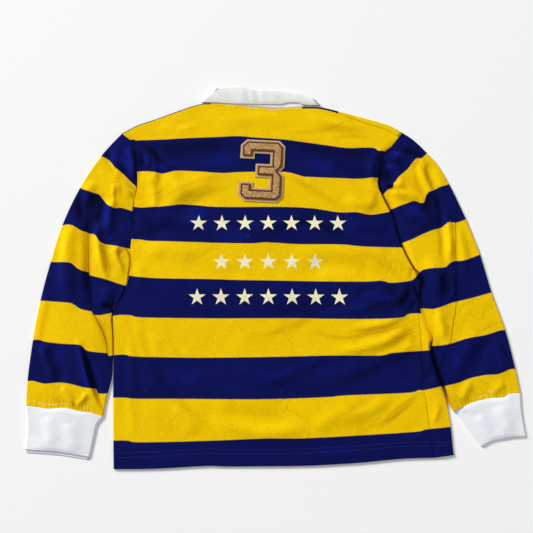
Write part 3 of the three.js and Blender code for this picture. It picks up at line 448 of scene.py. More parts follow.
# Painted shade in creases where one layer tucks beside another, and in long sweeps over the back: route,
# width and depth of the shade
PAINTED_CREASE_SHADES = [
    ([[249, 266], [223, 238], [215, 225], [218, 207], [212, 188], [210, 171]], 5, 0.45),
    ([[214, 226], [218, 207], [212, 188], [210, 171], [219, 143], [235, 107], [243, 76]], 3.0, 0.85),
    ([[219, 143], [235, 107], [251, 45], [272, -2], [286, -24], [282, -69], [293, -124]], 2.6, 0.85),
    ([[276, -8], [286, -28], [284, -50]], 4.5, 0.75),
    ([[293, -120], [301, -140], [298, -160], [307, -196], [317, -230], [330, -272]], 3.4, 1.0),
    ([[-300, 276], [-285, 253], [-279, 220], [-277, 163]], 5, 0.4),
    ([[-279, 220], [-277, 163], [-283, 115], [-279, 64]], 1.8, 0.6),
    ([[-279, 64], [-290, 47], [-294, 39], [-284, 17], [-287, -25], [-290, -40], [-305, -74],
      [-320, -82], [-332, -79]], 2.0, 0.7),
    ([[-316, -70], [-326, -76], [-336, -72]], 4, 0.6),
    ([[-304, -70], [-314, -96], [-311, -130], [-308, -173], [-306, -200]], 2.4, 0.7),
    # right sleeve head and its knot of folds
    ([[222, 228], [217, 200], [214, 172]], 9, 0.5),
    ([[242, 145], [264, 135], [289, 127]], 7, 0.16),
    ([[262, 194], [279, 168], [295, 143]], 6, 0.16),
    ([[291, 220], [305, 184], [315, 151]], 5, 0.24),
    ([[319, 152], [325, 120], [331, 82]], 6, 0.4),
    ([[331, 74], [332, 33], [327, -1]], 5, 0.26),
    ([[335, -9], [339, -36], [333, -73]], 6, 0.4),
    ([[352, 70], [352, 20], [350, -60]], 4, 0.2),
    # back, at the right underarm
    ([[271, 1], [266, -13], [261, -26]], 3.4, 0.4),
    ([[263, -258], [225, -287], [184, -305]], 3, 0.3),
    ([[283, -186], [285, -210], [294, -205], [297, -172]], 4, 0.4),
    ([[293, -277], [302, -271], [309, -261]], 3, 0.14),
    # knot of folds at the right armhole
    ([[229, 217], [238, 216], [249, 220], [251, 226]], 3, 0.6),
    ([[223, 169], [231, 164], [241, 162]], 3, 0.85),
    ([[217, 204], [227, 197], [230, 188], [223, 173]], 6, 0.5),
    ([[257, 246], [272, 241], [286, 237], [296, 226]], 7, 0.45),
    ([[252, 222], [253, 208]], 4, 0.4),
    ([[281, 200], [286, 173], [293, 155], [299, 141]], 6, 0.3),
    ([[261, 189], [261, 166], [260, 150]], 5, 0.25),
    ([[303, 226], [308, 195], [311, 173]], 4, 0.3),
    ([[301, 224], [316, 208]], 2.6, 0.4),
    ([[222, 148], [241, 146], [261, 144], [273, 139]], 3, 0.3),
    ([[223, 144], [228, 134], [232, 118]], 2.4, 0.45),
    ([[207, 159], [206, 144], [198, 118]], 4, 0.25),
    ([[315, 151], [305, 130], [304, 112], [314, 95]], 10, 0.45),
    ([[290, 100], [279, 93], [270, 80]], 8, 0.3),
    # right underarm
    ([[263, -34], [258, -48], [251, -63], [242, -72], [247, -81]], 8, 0.5),
    ([[271, -35], [276, -53], [277, -65]], 3, 0.7),
    ([[273, -65], [266, -76], [257, -90]], 3, 0.6),
    ([[215, -37], [224, -48], [237, -56]], 8, 0.3),
    ([[246, -103], [228, -114], [204, -122], [178, -126], [152, -127], [135, -133]], 4, 0.35),
    ([[262, -115], [245, -129], [231, -139], [217, -146]], 7, 0.28),
    ([[268, -136], [261, -153]], 5, 0.2),
    ([[186, -42], [154, -49]], 6, 0.25),
    ([[233, -77], [209, -84], [185, -81]], 8, 0.2),
    # left sleeve, head and upper arm
    ([[-324, 204], [-314, 177], [-318, 152], [-332, 134]], 8, 0.26),
    ([[-310, 183], [-309, 162], [-308, 140]], 2.8, 0.35),
    ([[-302, 174], [-281, 158], [-277, 143]], 3, 0.35),
    ([[-390, 152], [-392, 122], [-382, 92]], 8, 0.5),
    ([[-347, 143], [-348, 110], [-356, 86]], 10, 0.5),
    ([[-374, 63], [-370, 33], [-366, 4]], 8, 0.26),
    ([[-342, 45], [-329, 16], [-314, -13]], 5, 0.35),
    ([[-293, 39], [-307, 19], [-300, 1]], 3, 0.3),
    ([[-290, 36], [-284, 16], [-282, -13]], 2.8, 0.5),
    ([[-323, 260], [-328, 235]], 5, 0.35),
    ([[-340, 245], [-334, 229]], 5, 0.35),
    ([[-294, 260], [-284, 245], [-281, 226], [-281, 204]], 3, 0.6),
    # back, at the left armhole
    ([[-277, 257], [-258, 247], [-243, 236], [-234, 222], [-217, 217]], 6, 0.55),
    ([[-278, 243], [-270, 230], [-269, 205]], 5, 0.5),
    ([[-252, 234], [-250, 219], [-251, 201]], 4, 0.5),
    ([[-221, 234], [-200, 234], [-178, 238]], 10, 0.3),
    ([[-236, 186], [-232, 177], [-236, 166]], 3, 0.28),
    ([[-223, 158], [-231, 151], [-246, 145]], 2.8, 0.3),
    ([[-273, 151], [-276, 136]], 9, 0.24),
    ([[-158, 154], [-176, 143], [-186, 136]], 9, 0.2),
    ([[-283, 154], [-283, 136]], 3, 0.35),
    # left sleeve
    ([[-331, 228], [-306, 200], [-284, 168]], 7, 0.35),
    ([[-289, 257], [-279, 224], [-268, 208]], 6, 0.4),
    ([[-341, 48], [-320, 10], [-312, -13]], 6, 0.22),
    ([[-334, -83], [-324, -79], [-314, -83], [-319, -95]], 3.2, 0.75),
    ([[-372, 130], [-369, 64], [-364, 2], [-359, -51], [-352, -93]], 10, 0.34),
    ([[-354, -91], [-337, -115], [-327, -137], [-319, -168]], 5, 0.4),
    ([[-362, -168], [-345, -208], [-334, -242]], 8, 0.36),
    ([[-441, -159], [-424, -193], [-403, -217]], 8, 0.16),
    ([[-413, -252], [-388, -264]], 3, 0.14),
    ([[-377, -239], [-391, -260]], 3, 0.16),
    ([[-352, -268], [-370, -255], [-389, -251]], 3, 0.16),
    # back, left
    ([[-178, 120], [-140, 148], [-100, 162]], 5, 0.14),
    ([[-262, 100], [-236, 78], [-214, 84]], 9, 0.24),
    # back, long sweeps of shade
    ([[-282, -105], [-273, -147], [-267, -184], [-264, -225], [-267, -265], [-259, -305]], 6, 0.2),
    ([[-256, -93], [-251, -139], [-234, -192], [-202, -236], [-160, -276], [-126, -305]], 7, 0.18),
    ([[-213, -124], [-196, -154], [-181, -184], [-173, -210]], 3, 0.1),
    ([[76, -130], [128, -141], [174, -134], [212, -127], [251, -115], [274, -101]], 4, 0.28),
    ([[-53, -139], [0, -131], [53, -109], [99, -78], [161, -62]], 8, 0.22),
    ([[-38, -232], [14, -223], [67, -199], [105, -177]], 9, 0.22),
    ([[119, -232], [164, -210], [202, -192], [241, -173], [275, -162]], 8, 0.3),
    ([[199, -298], [229, -272], [260, -254], [275, -245]], 3, 0.28),
    ([[95, -298], [133, -280], [170, -259], [193, -248]], 8, 0.14),
    ([[160, -93], [199, -78], [238, -62], [261, -47]], 6, 0.3),
    ([[-8, -93], [53, -78], [115, -62]], 10, 0.2),
    ([[30, 280], [84, 282], [131, 295], [158, 309]], 4, 0.18),
    ([[110, 266], [164, 273], [204, 264]], 4, 0.16),
    ([[-239, 298], [-186, 303], [-139, 315]], 8, 0.1),
    ([[-264, 240], [-224, 246], [-171, 247], [-84, 253]], 12, 0.35),
    ([[-230, 220], [-217, 208], [-203, 199]], 5, 0.3),
    ([[36, 259], [96, 240], [163, 233], [206, 230]], 12, 0.32),
    ([[-234, 137], [-182, 161], [-143, 178], [-90, 187]], 6, 0.2),
    ([[29, 185], [69, 161], [108, 137], [134, 111]], 7, 0.2),
    ([[187, 111], [203, 140], [209, 168]], 6, 0.3),
    ([[-271, 65], [-232, 77], [-187, 90]], 9, 0.3),
    ([[-37, 65], [9, 76], [61, 90], [107, 76], [145, 57]], 9, 0.34),
    ([[144, 12], [183, 22], [221, -1], [246, -27]], 8, 0.16),
    ([[-133, -14], [-75, -1], [-17, 25]], 10, 0.1),
    # left forearm, down to the cuff
    ([[-337, -237], [-333, -255], [-326, -272], [-323, -282]], 3, 0.4),
    ([[-382, -257], [-377, -267], [-369, -273]], 3, 0.4),
    ([[-419, -251], [-408, -260], [-398, -263]], 4, 0.22),
    ([[-370, -267], [-360, -257], [-351, -251]], 4, 0.22),
    ([[-460, -170], [-448, -190], [-439, -212]], 9, 0.2),
]

# Painted highlights where raised folds catch the light: route, width and strength
PAINTED_HIGHLIGHTS = [
    ([[-318, 90], [-306, 76], [-300, 66]], 13, 0.4),
    ([[222, 208], [238, 206], [248, 195]], 6, 0.7),
    ([[225, 226], [241, 235], [256, 233]], 4, 0.5),
    ([[237, 186], [238, 177]], 5, 0.6),
    ([[255, 116], [272, 114], [290, 109]], 14, 0.5),
    ([[268, 220], [278, 226]], 8, 0.35),
    ([[147, -76], [171, -62], [194, -51], [210, -48]], 5, 0.5),
    ([[195, -67], [213, -65], [230, -70]], 10, 0.4),
    ([[258, -60], [265, -49], [269, -41]], 5, 0.4),
    ([[-267, 234], [-257, 222], [-259, 209]], 5, 0.8),
    ([[-242, 209], [-221, 207], [-196, 220]], 9, 0.6),
    ([[-291, 257], [-281, 240], [-279, 224]], 2.8, 0.7),
    ([[-314, 254], [-311, 226], [-291, 189]], 15, 0.9),
    ([[-361, 198], [-350, 198], [-359, 214]], 13, 0.5),
    ([[-360, 57], [-344, 33], [-329, 4]], 8, 0.5),
    ([[-304, 24], [-289, 19]], 5, 0.5),
    # back, long ridges
    ([[-120, -248], [-68, -233], [-8, -215], [37, -196], [82, -173]], 8, 0.42),
    ([[-76, -206], [-46, -203], [-16, -210]], 10, 0.35),
    ([[-233, -218], [-188, -215], [-143, -210]], 14, 0.28),
    ([[141, -245], [186, -223], [225, -199], [263, -184]], 5, 0.3),
    ([[53, -93], [130, -87], [199, -70]], 6, 0.35),
    ([[67, -210], [127, -199], [165, -184]], 9, 0.25),
    ([[-170, 208], [-124, 215], [-74, 227]], 12, 0.45),
    ([[23, 216], [69, 208], [122, 202]], 12, 0.35),
    ([[-226, 84], [-174, 92], [-128, 111]], 9, 0.35),
    ([[107, 94], [152, 65], [210, 57]], 6, 0.4),
    ([[-134, 65], [-82, 59], [-37, 51]], 12, 0.25),
    ([[-222, 181], [-170, 187]], 8, 0.3),
    # left forearm
    ([[-440, -158], [-423, -187], [-400, -221]], 3.5, 0.45),
    ([[-329, -185], [-335, -202], [-332, -220]], 5, 0.3),
    ([[-381, -247], [-394, -242], [-409, -247]], 6, 0.3),
]


# What is left of a painted line at its tips, and the share of it that fades
TIP_SHADE, TIP_FADE = 0.3, 0.3
# Shares over which a fold rises and falls, and how far that has begun at its tips
FOLD_RISE, FOLD_FALL, FOLD_TIP = 0.35, 0.4, 0.12
# Half the step over which the painted light reads a climb, the climb that shows in full, what is left of
# the painted light away from the left sleeve, and where that begins and over what width
PAINTED_LIGHT_STEP, PAINTED_LIGHT_CLIMB, PAINTED_LIGHT_REST, PAINTED_LIGHT_EDGE, PAINTED_LIGHT_WIDTH = 2, 2.4, 0.3, -280, 40


def near_route(route, width, x, y):
    return along_route(smooth(route, ROUTE_SAMPLES), x, y, ROUTE_REACH * width)


def strongest(table, x, y):
    """The strongest of a table's soft lines at points x, y."""
    total = np.zeros_like(x)
    for route, width, strength in table:
        gap, place = near_route(route, width, x, y)
        fade = TIP_SHADE + (1 - TIP_SHADE) * from_sides(place, TIP_FADE)
        total = np.maximum(total, strength * fade * np.exp(-(gap / width) ** 2))
    return total


def fold_height(x, y):
    """The sum of all folds at points x, y."""
    total = np.zeros_like(x)
    for route, width, height, sharp in FOLDS:
        gap, place = near_route(route, width, x, y)
        fade = ease(place / FOLD_RISE + FOLD_TIP) * ease((1 - place) / FOLD_FALL + FOLD_TIP)
        total += FOLD_GAIN * height * fade * np.exp(-(gap / width) ** (2 / sharp))
    return total


def painted_fold_light(x, y):
    """Painted light and shade: lighter on the sides of folds that face up and left, darker on those that
    face down and right, most of all on the left, plus painted highlights.
    """
    climb = fold_height(x + PAINTED_LIGHT_STEP, y - PAINTED_LIGHT_STEP) - fold_height(x - PAINTED_LIGHT_STEP, y + PAINTED_LIGHT_STEP)
    share = PAINTED_LIGHT_REST + (1 - PAINTED_LIGHT_REST) * ease((PAINTED_LIGHT_EDGE - x) / PAINTED_LIGHT_WIDTH)
    return np.clip(climb / PAINTED_LIGHT_CLIMB, -1, 1) * share + strongest(PAINTED_HIGHLIGHTS, x, y)


WAVES = 7


def ripple(x, y, seed, size):
    """Soft uneven waves of about a size, from a few sines."""
    rng = np.random.default_rng(seed)
    total = np.zeros_like(x)
    for _ in range(WAVES):
        angle, phase = rng.uniform(0, math.tau, 2)
        wave = size * rng.uniform(0.7, 1.6)
        total += np.sin((x * math.cos(angle) + y * math.sin(angle)) * math.tau / wave + phase)
    return total / 4


STEEPEST = 0.8


def hoop_place(hoops, x, y):
    """How many hoop edges lie above each point, with the fraction to the next one."""
    edges = []
    for table in hoops:
        points = smooth(table, 90)[1]
        order = np.argsort(points[:, 0])
        xs, ys = points[order, 0], points[order, 1]
        inside = np.interp(x, xs, ys)
        for end, next_to_it, way in ((table[0], table[1], -1), (table[-1], table[-2], 1)):
            slope = (next_to_it[1] - end[1]) / (next_to_it[0] - end[0])
            beyond = end[1] + np.clip(slope, -STEEPEST, STEEPEST) * (x - end[0])
            inside = np.where((x - end[0]) * way > 0, beyond, inside)
        edges.append(inside)
    edges = [edges[0] + (edges[0] - edges[1]), *edges, edges[-1] - (edges[-2] - edges[-1])]
    place = (edges[0] - y) / (edges[0] - edges[1])
    for k in range(1, len(edges) - 1):
        here = k + (edges[k] - y) / (edges[k] - edges[k + 1])
        place = np.where(y < edges[k], here, place)
    return place


def beside(table, x, y):
    """Signed distance to a line that runs down the shirt: positive on the right of it."""
    line = smooth(table, 60)[1]
    best = np.full(x.shape, FAR)
    for a, b in zip(line[:-1], line[1:]):
        _, gap_x, gap_y = to_segment(x, y, a, b)
        gap = np.hypot(gap_x, gap_y)
        side = np.where((b[0] - a[0]) * (y - a[1]) - (b[1] - a[1]) * (x - a[0]) > 0, 1, -1)
        best = np.where(gap < np.abs(best), gap * side, best)
    return best


# Meshes

def unit(vectors):
    return vectors / np.maximum(np.linalg.norm(vectors, axis=-1, keepdims=True), 1e-9)


def new_object(name, vertices, faces, values=None, shade=True):
    """A mesh object from points in millimetres, with named values at its vertices."""
    mesh = bpy.data.meshes.new(name)
    mesh.from_pydata((np.asarray(vertices, float) * MM).tolist(), [], [list(f) for f in faces])
    for key, value in (values or {}).items():
        layer = mesh.attributes.new(key, "FLOAT", "POINT")
        layer.data.foreach_set("value", np.asarray(value, np.float32).ravel())
    mesh.validate()
    if shade:
        mesh.shade_smooth()
    thing = bpy.data.objects.new(name, mesh)
    bpy.context.scene.collection.objects.link(thing)
    return thing


LOWEST = 0.02


def grid_faces(rows, columns, closed, keep=None):
    """Quads of a grid, closed across or open, as indexes row by row."""
    across = columns if closed else columns - 1
    j, i = np.meshgrid(np.arange(rows - 1), np.arange(across), indexing="ij")
    k = (i + 1) % columns
    quads = np.stack([j * columns + i, j * columns + k,
                      (j + 1) * columns + k, (j + 1) * columns + i], -1)
    return quads if keep is None else quads[keep]


def shell(name, points, wall=WALL, closed=False, keep=None, values=None, flip=False):
    """A closed wall from a grid of points: the grid is its face, the reverse lies a wall inside."""
    rows, columns = points.shape[:2]
    normals = grid_normals(points, closed) * (-1 if flip else 1)
    under = points - normals * wall
    under[..., 2] = np.maximum(under[..., 2], LOWEST)
    quads = grid_faces(rows, columns, closed, keep).reshape(-1, 4)
    count = rows * columns
    edges = {}
    for quad in quads.tolist():
        for a, b in zip(quad, quad[1:] + quad[:1]):
            if (b, a) in edges:
                del edges[(b, a)]
            else:
                edges[(a, b)] = True
    rims = [[b, a, a + count, b + count] for a, b in edges]
    faces = quads.tolist() + (quads[:, ::-1] + count).tolist() + rims
    vertices = np.concatenate([points.reshape(-1, 3), under.reshape(-1, 3)])
    used = np.unique(np.array(faces).ravel())
    renumber = np.full(len(vertices), -1)
    renumber[used] = np.arange(len(used))
    faces = renumber[np.array(faces)]
    if flip:
        faces = faces[:, ::-1]
    doubled = {key: np.concatenate([v.ravel(), v.ravel()])[used] for key, v in (values or {}).items()}
    return new_object(name, vertices[used], faces, doubled)


def grid_normals(points, closed=False):
    """Unit normals of a grid of points, up or out of the face."""
    along = np.gradient(points, axis=0)
    if closed:
        across = (np.roll(points, -1, axis=1) - np.roll(points, 1, axis=1)) / 2
    else:
        across = np.gradient(points, axis=1)
    return unit(np.cross(across, along))


def fold_arc(base, outward, middle, degrees, radius=FOLD):
    """Points round a folded edge: base on the floor plan, outward a unit direction."""
    angle = math.radians(degrees)
    plan = base + outward * radius * math.cos(angle)
    return np.concatenate([plan, (middle + radius * math.sin(angle))[..., None]], -1)


def with_height(plan, height):
    return np.concatenate([plan, np.asarray(height)[..., None]], -1)


# Shares over the body where the back's grid has its lines
BODY_COLUMNS = np.unique(np.concatenate([
    np.linspace(0, NECK_LEFT, 60),
    np.linspace(NECK_LEFT, NECK_RIGHT, 60),
    np.linspace(NECK_RIGHT, 1, 70),
]))
BODY_ROWS = np.unique(np.concatenate([np.linspace(0, UNDERARM, 102), np.linspace(UNDERARM, 1, 126)]))

# How far the back stands off the front, and the shares over which that and its folds begin
LOFT = 3.4
LOFT_SHARE = 0.16
FOLD_SHARE = 0.045
HEM_HOLD = 0.35     # what is left of a fold at the hem
BACK_SLACK = 0.3    # how far the back may sink below its place on the front
JOIN_SHARE = 0.03   # share of the width over which an edge draws in at a seam
BACK_TOP_SHARE, FRONT_TOP_SHARE = 0.1, 0.06    # shares of the height over which the tops draw in
LEFT_TURN = (6, 24, 42, 60, 76)    # degrees round the folded left edge

TOP_HOOP = 0.2      # the least hoop number, so that the top stays in its hoop
NO_SEAM = 60.0      # the distance that says no seam line is near


def jersey_values(hoops, plan, first=0, seam=None, seam_break=None):
    """Hoop number, painted shade for creases, painted light and shade for folds, distance to the seam line
    and the shift of the hoops beyond it.
    """
    x, y = plan[..., 0], plan[..., 1]
    return {"hoop": np.maximum(hoop_place(hoops, x, y), TOP_HOOP) + first,
            "crevice": strongest(PAINTED_CREASE_SHADES, x, y),
            "nap": painted_fold_light(x, y),
            "seam": np.full(x.shape, NO_SEAM) if seam is None else beside(seam, x, y),
            "shift": np.zeros_like(x) if seam_break is None else seam_break(x, y)}


def back_height(x, y, u, v):
    """Height of the back's face: over the front, lofted and folded, and flat at the numeral."""
    middle = from_sides(u, LOFT_SHARE) * from_sides(v, LOFT_SHARE)
    side_fade = np.where(v < UNDERARM, from_sides(u, FOLD_SHARE), 1)
    hem_fade = HEM_HOLD + (1 - HEM_HOLD) * ease(v / FOLD_SHARE)
    folds = fold_height(x, y) * side_fade * ease((1 - v) / FOLD_SHARE) * hem_fade
    waves = (ripple(x, y, 3, 130) * 0.9 + ripple(x, y, 5, 46) * 0.35) * middle
    lower = front_base(x, y) + OVER_BANDS * over_placket(x, y) + 2 * WALL + LAYER
    free = lower + never_below(LOFT * middle + folds + waves, BACK_SLACK)
    return free + (NUMERAL_HEIGHT - free) * near_numeral(x, y)


def back_point(u, v):
    plan = body(u, v)
    return with_height(plan, back_height(plan[..., 0], plan[..., 1], u, v))


COLUMN_STEP = 4.0


def beside_steps(start, stop):
    """Even steps along X, for grid columns that are left out above the underarm."""
    return np.arange(start, stop)[None, :, None] * np.array([COLUMN_STEP, 0, 0])


def drawn_in(u, v, left_share, right_seam):
    """How far the sides of a body piece move along X, for its folded left edge and its seams."""
    left = np.where(v <= UNDERARM + TINY, FOLD, SEAM) * np.clip(1 - u / left_share, 0, 1)
    return left - right_seam * np.clip(1 - (1 - u) / JOIN_SHARE, 0, 1)


def within_neck(u):
    return (u > NECK_LEFT + TINY) & (u < NECK_RIGHT - TINY)


def left_edge(plan, height, turns):
    """The folded left edge of a body piece, as points of its cross-section."""
    outward = np.broadcast_to([-1.0, 0.0], plan.shape)
    return np.stack([fold_arc(plan, outward, height, degrees) for degrees in turns], 1)


def shoulder_wrap(u):
    """How wide a strip of the front comes over the shoulder, at shares across the body."""
    left = np.interp(u / NECK_LEFT, np.linspace(0, 1, len(LEFT_WRAP)), LEFT_WRAP)
    right = np.interp((u - NECK_RIGHT) / (1 - NECK_RIGHT),
                      np.linspace(0, 1, len(RIGHT_WRAP)), RIGHT_WRAP)
    return np.where(u < 0.5, left, right)


def towards_top(u):
    """Directions on the floor plan in which the body runs out at its top edge."""
    return unit(body(u, np.ones_like(u)) - body(u, np.full_like(u, 0.97)))


def make_back():
    u, v = np.meshgrid(BODY_COLUMNS, BODY_ROWS)
    plan = body(u, v)
    gap = np.where(within_neck(u), SEAM, shoulder_wrap(u) + SEAM)
    plan -= towards_top(u) * (gap * to_end(v, BACK_TOP_SHARE))[..., None]
    plan[..., 0] += drawn_in(u, v, JOIN_SHARE, SEAM)
    main = with_height(plan, back_height(plan[..., 0], plan[..., 1], u, v))
    arc = left_edge(plan[:, 0], front_base(plan[:, 0, 0], plan[:, 0, 1]) + FOLD, LEFT_TURN)
    points = np.concatenate([arc, main], 1)
    arcs = arc.shape[1]
    above = BODY_ROWS > UNDERARM + TINY
    points[above, :arcs] = main[above, :1] + beside_steps(-arcs, 0)
    keep = np.ones((points.shape[0] - 1, points.shape[1] - 1), bool)
    keep[BODY_ROWS[:-1] >= UNDERARM - TINY, :arcs] = False
    return shell("back", points, keep=keep, values=jersey_values(BODY_HOOPS, points[..., :2]))


# The same for the front, whose lines also meet the placket's slot
FRONT_COLUMNS = np.unique(np.concatenate([
    np.linspace(0, NECK_LEFT, 22),
    NECK_MIDDLE + NECK_HALF * np.linspace(-1, -PLACKET_SHARE, 10),
    NECK_MIDDLE + NECK_HALF * np.linspace(PLACKET_SHARE, 1, 10),
    np.linspace(NECK_RIGHT, 1, 26),
]))
SLOT_FOOT = UNDERARM + (1 - UNDERARM) * 5 / 12
FRONT_ROWS = np.unique(np.concatenate([
    np.linspace(0, UNDERARM, 70), np.linspace(UNDERARM, SLOT_FOOT, 16), np.linspace(SLOT_FOOT, 1, 26)]))
# Shares across the strip that comes round the right side, and the turns of a folded edge in degrees
WRAP_SHARES = [*np.linspace(1, 0, 13), -0.03]
ARC = [-72, -48, -24, 0, 24, 48, 72]
FRONT_JOIN_SHARE = 0.05
OVER_TURN = 132     # where along X the strip over the shoulder turns from navy to yellow


def under_neck(u, v):
    """The front below its neck: squeezed down from the back's outline, and straight at the slot."""
    squeeze = np.maximum(0, (v - SQUEEZE_FROM) / (1 - SQUEEZE_FROM))
    plan = body(u, v)
    plan[..., 1] -= (neck_drop(u) + 2 * SEAM) * squeeze
    beside_slot = np.abs(u - NECK_MIDDLE) < NECK_HALF * (PLACKET_SHARE + 0.01)
    beside_slot &= v > SLOT_FOOT - TINY
    plan[..., 0] = np.where(beside_slot, body_top(u)[..., 0], plan[..., 0])
    return plan


def wrap_frame(v):
    """Seam, folded edge and outward direction of the strip that comes round onto the back."""
    side = np.minimum(v / UNDERARM, 1)
    seam = on(RIGHT_SIDE)(side) + [SEAM, 0]
    edge = on(RIGHT_FOLD)(side)
    outward = unit(edge - seam)
    return seam, edge - outward * FOLD, outward


# The strip at the right side: the share over which its folds begin, how deep its end tucks into the
# seam, how much it swells and over what share, and how far it may sink
STRIP_FOLDS, STRIP_TUCK, STRIP_SWELL, SWELL_SHARE, STRIP_SLACK = 0.25, 0.7, 0.9, 0.4, 0.2
# How far from the sleeve's edge its folds begin, and over what width
BARE_FROM, BARE_WIDTH = 1, 6


def bare_of_sleeve(x, y):
    """1 on the part of the strip that shows, and 0 where the right sleeve lies on it."""
    edge = np.array(RIGHT_SLEEVE_INNER, dtype=float)[::-1]
    gap = np.interp(y, edge[:, 1], edge[:, 0]) - x
    return ease((gap - BARE_FROM) / BARE_WIDTH)


def wrap_point(t, v):
    """The strip's upper face: share t from the side seam to the folded edge."""
    seam, base, _ = wrap_frame(v)
    plan = seam + (base - seam) * t[..., None]
    x, y = plan[..., 0], plan[..., 1]
    lift = fold_height(x, y) * from_sides(t, STRIP_FOLDS) * bare_of_sleeve(x, y)
    tucked = STRIP_TUCK * ease(t / WRAP_SHARES[-1])
    swell = STRIP_SWELL * from_sides(t, SWELL_SHARE)
    return with_height(plan, 2 * FOLD + np.maximum(lift, -STRIP_SLACK) + swell - tucked)


def over_shoulders(main):
    """Rows of points that fold the front over the shoulders onto the back."""
    outward = towards_top(FRONT_COLUMNS)
    base, middle = main[-1, :, :2], main[-1, :, 2] + FOLD
    reach = np.maximum(0.6, shoulder_wrap(FRONT_COLUMNS) - FOLD)
    rows = [fold_arc(base, outward, middle, degrees) for degrees in ARC]
    for share in (0, 0.33, 0.66, 1):
        swell = 0.5 * math.sin(math.pi * share)
        rows.append(with_height(base - outward * (reach * share)[:, None], middle + FOLD + swell))
    return rows


def front_cells(rows, columns, first, last):
    """Which cells are cloth: no sides above the underarm, and none in the slot or the neck."""
    keep = np.ones((rows - 1, columns - 1), bool)
    row = np.arange(rows - 1)
    sides = np.ones(columns - 1, bool)
    sides[first:last - 1] = False
    middle_u = (FRONT_COLUMNS[:-1] + FRONT_COLUMNS[1:]) / 2
    from_middle = np.abs(middle_u - NECK_MIDDLE)
    body_columns = first + np.arange(len(middle_u))
    for from_row, cells in (
            (np.searchsorted(FRONT_ROWS, UNDERARM - TINY), np.flatnonzero(sides)),
            (np.searchsorted(FRONT_ROWS, SLOT_FOOT - TINY),
             body_columns[from_middle < NECK_HALF * PLACKET_SHARE]),
            (len(FRONT_ROWS) - 1, body_columns[from_middle < NECK_HALF])):
        keep[np.ix_(row >= from_row, cells)] = False
    return keep


def make_front():
    u, v = np.meshgrid(FRONT_COLUMNS, FRONT_ROWS)
    in_neck = within_neck(u)
    plan = np.where(in_neck[..., None], under_neck(u, v), body(u, v))
    plan -= towards_top(u) * (np.where(in_neck, 0, FOLD) * to_end(v, FRONT_TOP_SHARE))[..., None]
    plan[..., 0] += drawn_in(u, v, FRONT_JOIN_SHARE, np.where(v > UNDERARM, SEAM, 0))
    main = with_height(plan, front_base(plan[..., 0], plan[..., 1]))
    arc = left_edge(plan[:, 0], main[:, 0, 2] + FOLD, [-degrees for degrees in LEFT_TURN])
    seam, edge, outward = wrap_frame(FRONT_ROWS)
    ones = np.ones(len(FRONT_ROWS))
    floor = np.stack([with_height(seam + (edge - seam) * t, 0 * ones) for t in (0.4, 0.8, 1)], 1)
    turn = np.stack([fold_arc(edge, outward, FOLD * ones, degrees) for degrees in ARC], 1)
    over = np.stack([wrap_point(t * ones, FRONT_ROWS) for t in WRAP_SHARES], 1)
    points = np.concatenate([arc, main, floor, turn, over], 1)
    above = FRONT_ROWS > UNDERARM + TINY
    first, last = arc.shape[1], arc.shape[1] + main.shape[1]
    points[above, :first] = main[above, :1] + beside_steps(-first, 0)
    points[above, last:] = main[above, -1:] + beside_steps(1, points.shape[1] - last + 1)

    rows = []
    for row in over_shoulders(main):
        whole = points[-1].copy()
        whole[first:last] = row
        rows.append(whole)
    points = np.concatenate([points, np.stack(rows)], 0)
    values = jersey_values(BODY_HOOPS, points[..., :2])
    beyond = len(FRONT_ROWS)
    values["hoop"][beyond:] = 1 + np.clip((OVER_TURN - points[beyond:, :, 0]) / 20, -0.5, 0.5)
    keep = front_cells(*points.shape[:2], first, last)
    return shell("front", points, keep=keep, values=values, flip=True)


# Sleeves and cuffs: one patch seen twice, folded at both sides

def on_floor(x, y):
    return np.zeros_like(x)


# Where along Y the right sleeve climbs onto the strip and over what length, and over what width it
# comes down again beyond the strip's folded edge
CLIMB_FROM, CLIMB_LENGTH, DROP_WIDTH = 20, 54, 34


def over_body(x, y):
    """How high the right sleeve lies over the strip of the front at the side."""
    top, end = RIGHT_FOLD[-1][1], RIGHT_FOLD[0][1]
    edge = on(RIGHT_FOLD)(np.clip((y - end) / (top - end), 0, 1))[..., 0]
    down = ease((CLIMB_FROM - y) / CLIMB_LENGTH)
    inside = ease(1 - (x - edge - FOLD) / DROP_WIDTH)
    return (2 * FOLD + 2 * CLEAR + OVER_STRIP) * down * inside


# Shares over which a tube's loft begins across and along it, and over which its folds do
TUBE_ACROSS, TUBE_ALONG, TUBE_FOLDS = 0.34, 0.12, 0.09
TUBE_SLACK = 0.4
TURN_SHARE = 0.1    # share of the width over which the sides draw in for the turns


def tube_height(floor, loft, x, y, u, v, gathers=None):
    """Height of a flattened tube's upper face, lofted and folded."""
    middle = from_sides(u, TUBE_ACROSS) * from_sides(v, TUBE_ALONG)
    side_fade = from_sides(u, TUBE_FOLDS)
    lift = fold_height(x, y) * side_fade + (loft + ripple(x, y, 11, 60) * 0.5) * middle
    if gathers is not None:
        lift += gathers(u, v) * side_fade
    return floor(x, y) + 2 * FOLD + never_below(lift, TUBE_SLACK)


def cuff_gathers(u, v):
    """Small puckers where the wide sleeve is sewn to the narrow cuff."""
    near = ease((v - 0.93) / 0.07)
    waves = np.sin(u * 94 + 3 * np.sin(u * 17)) + 0.5 * np.sin(u * 151 + 1)
    return 0.55 * near * waves


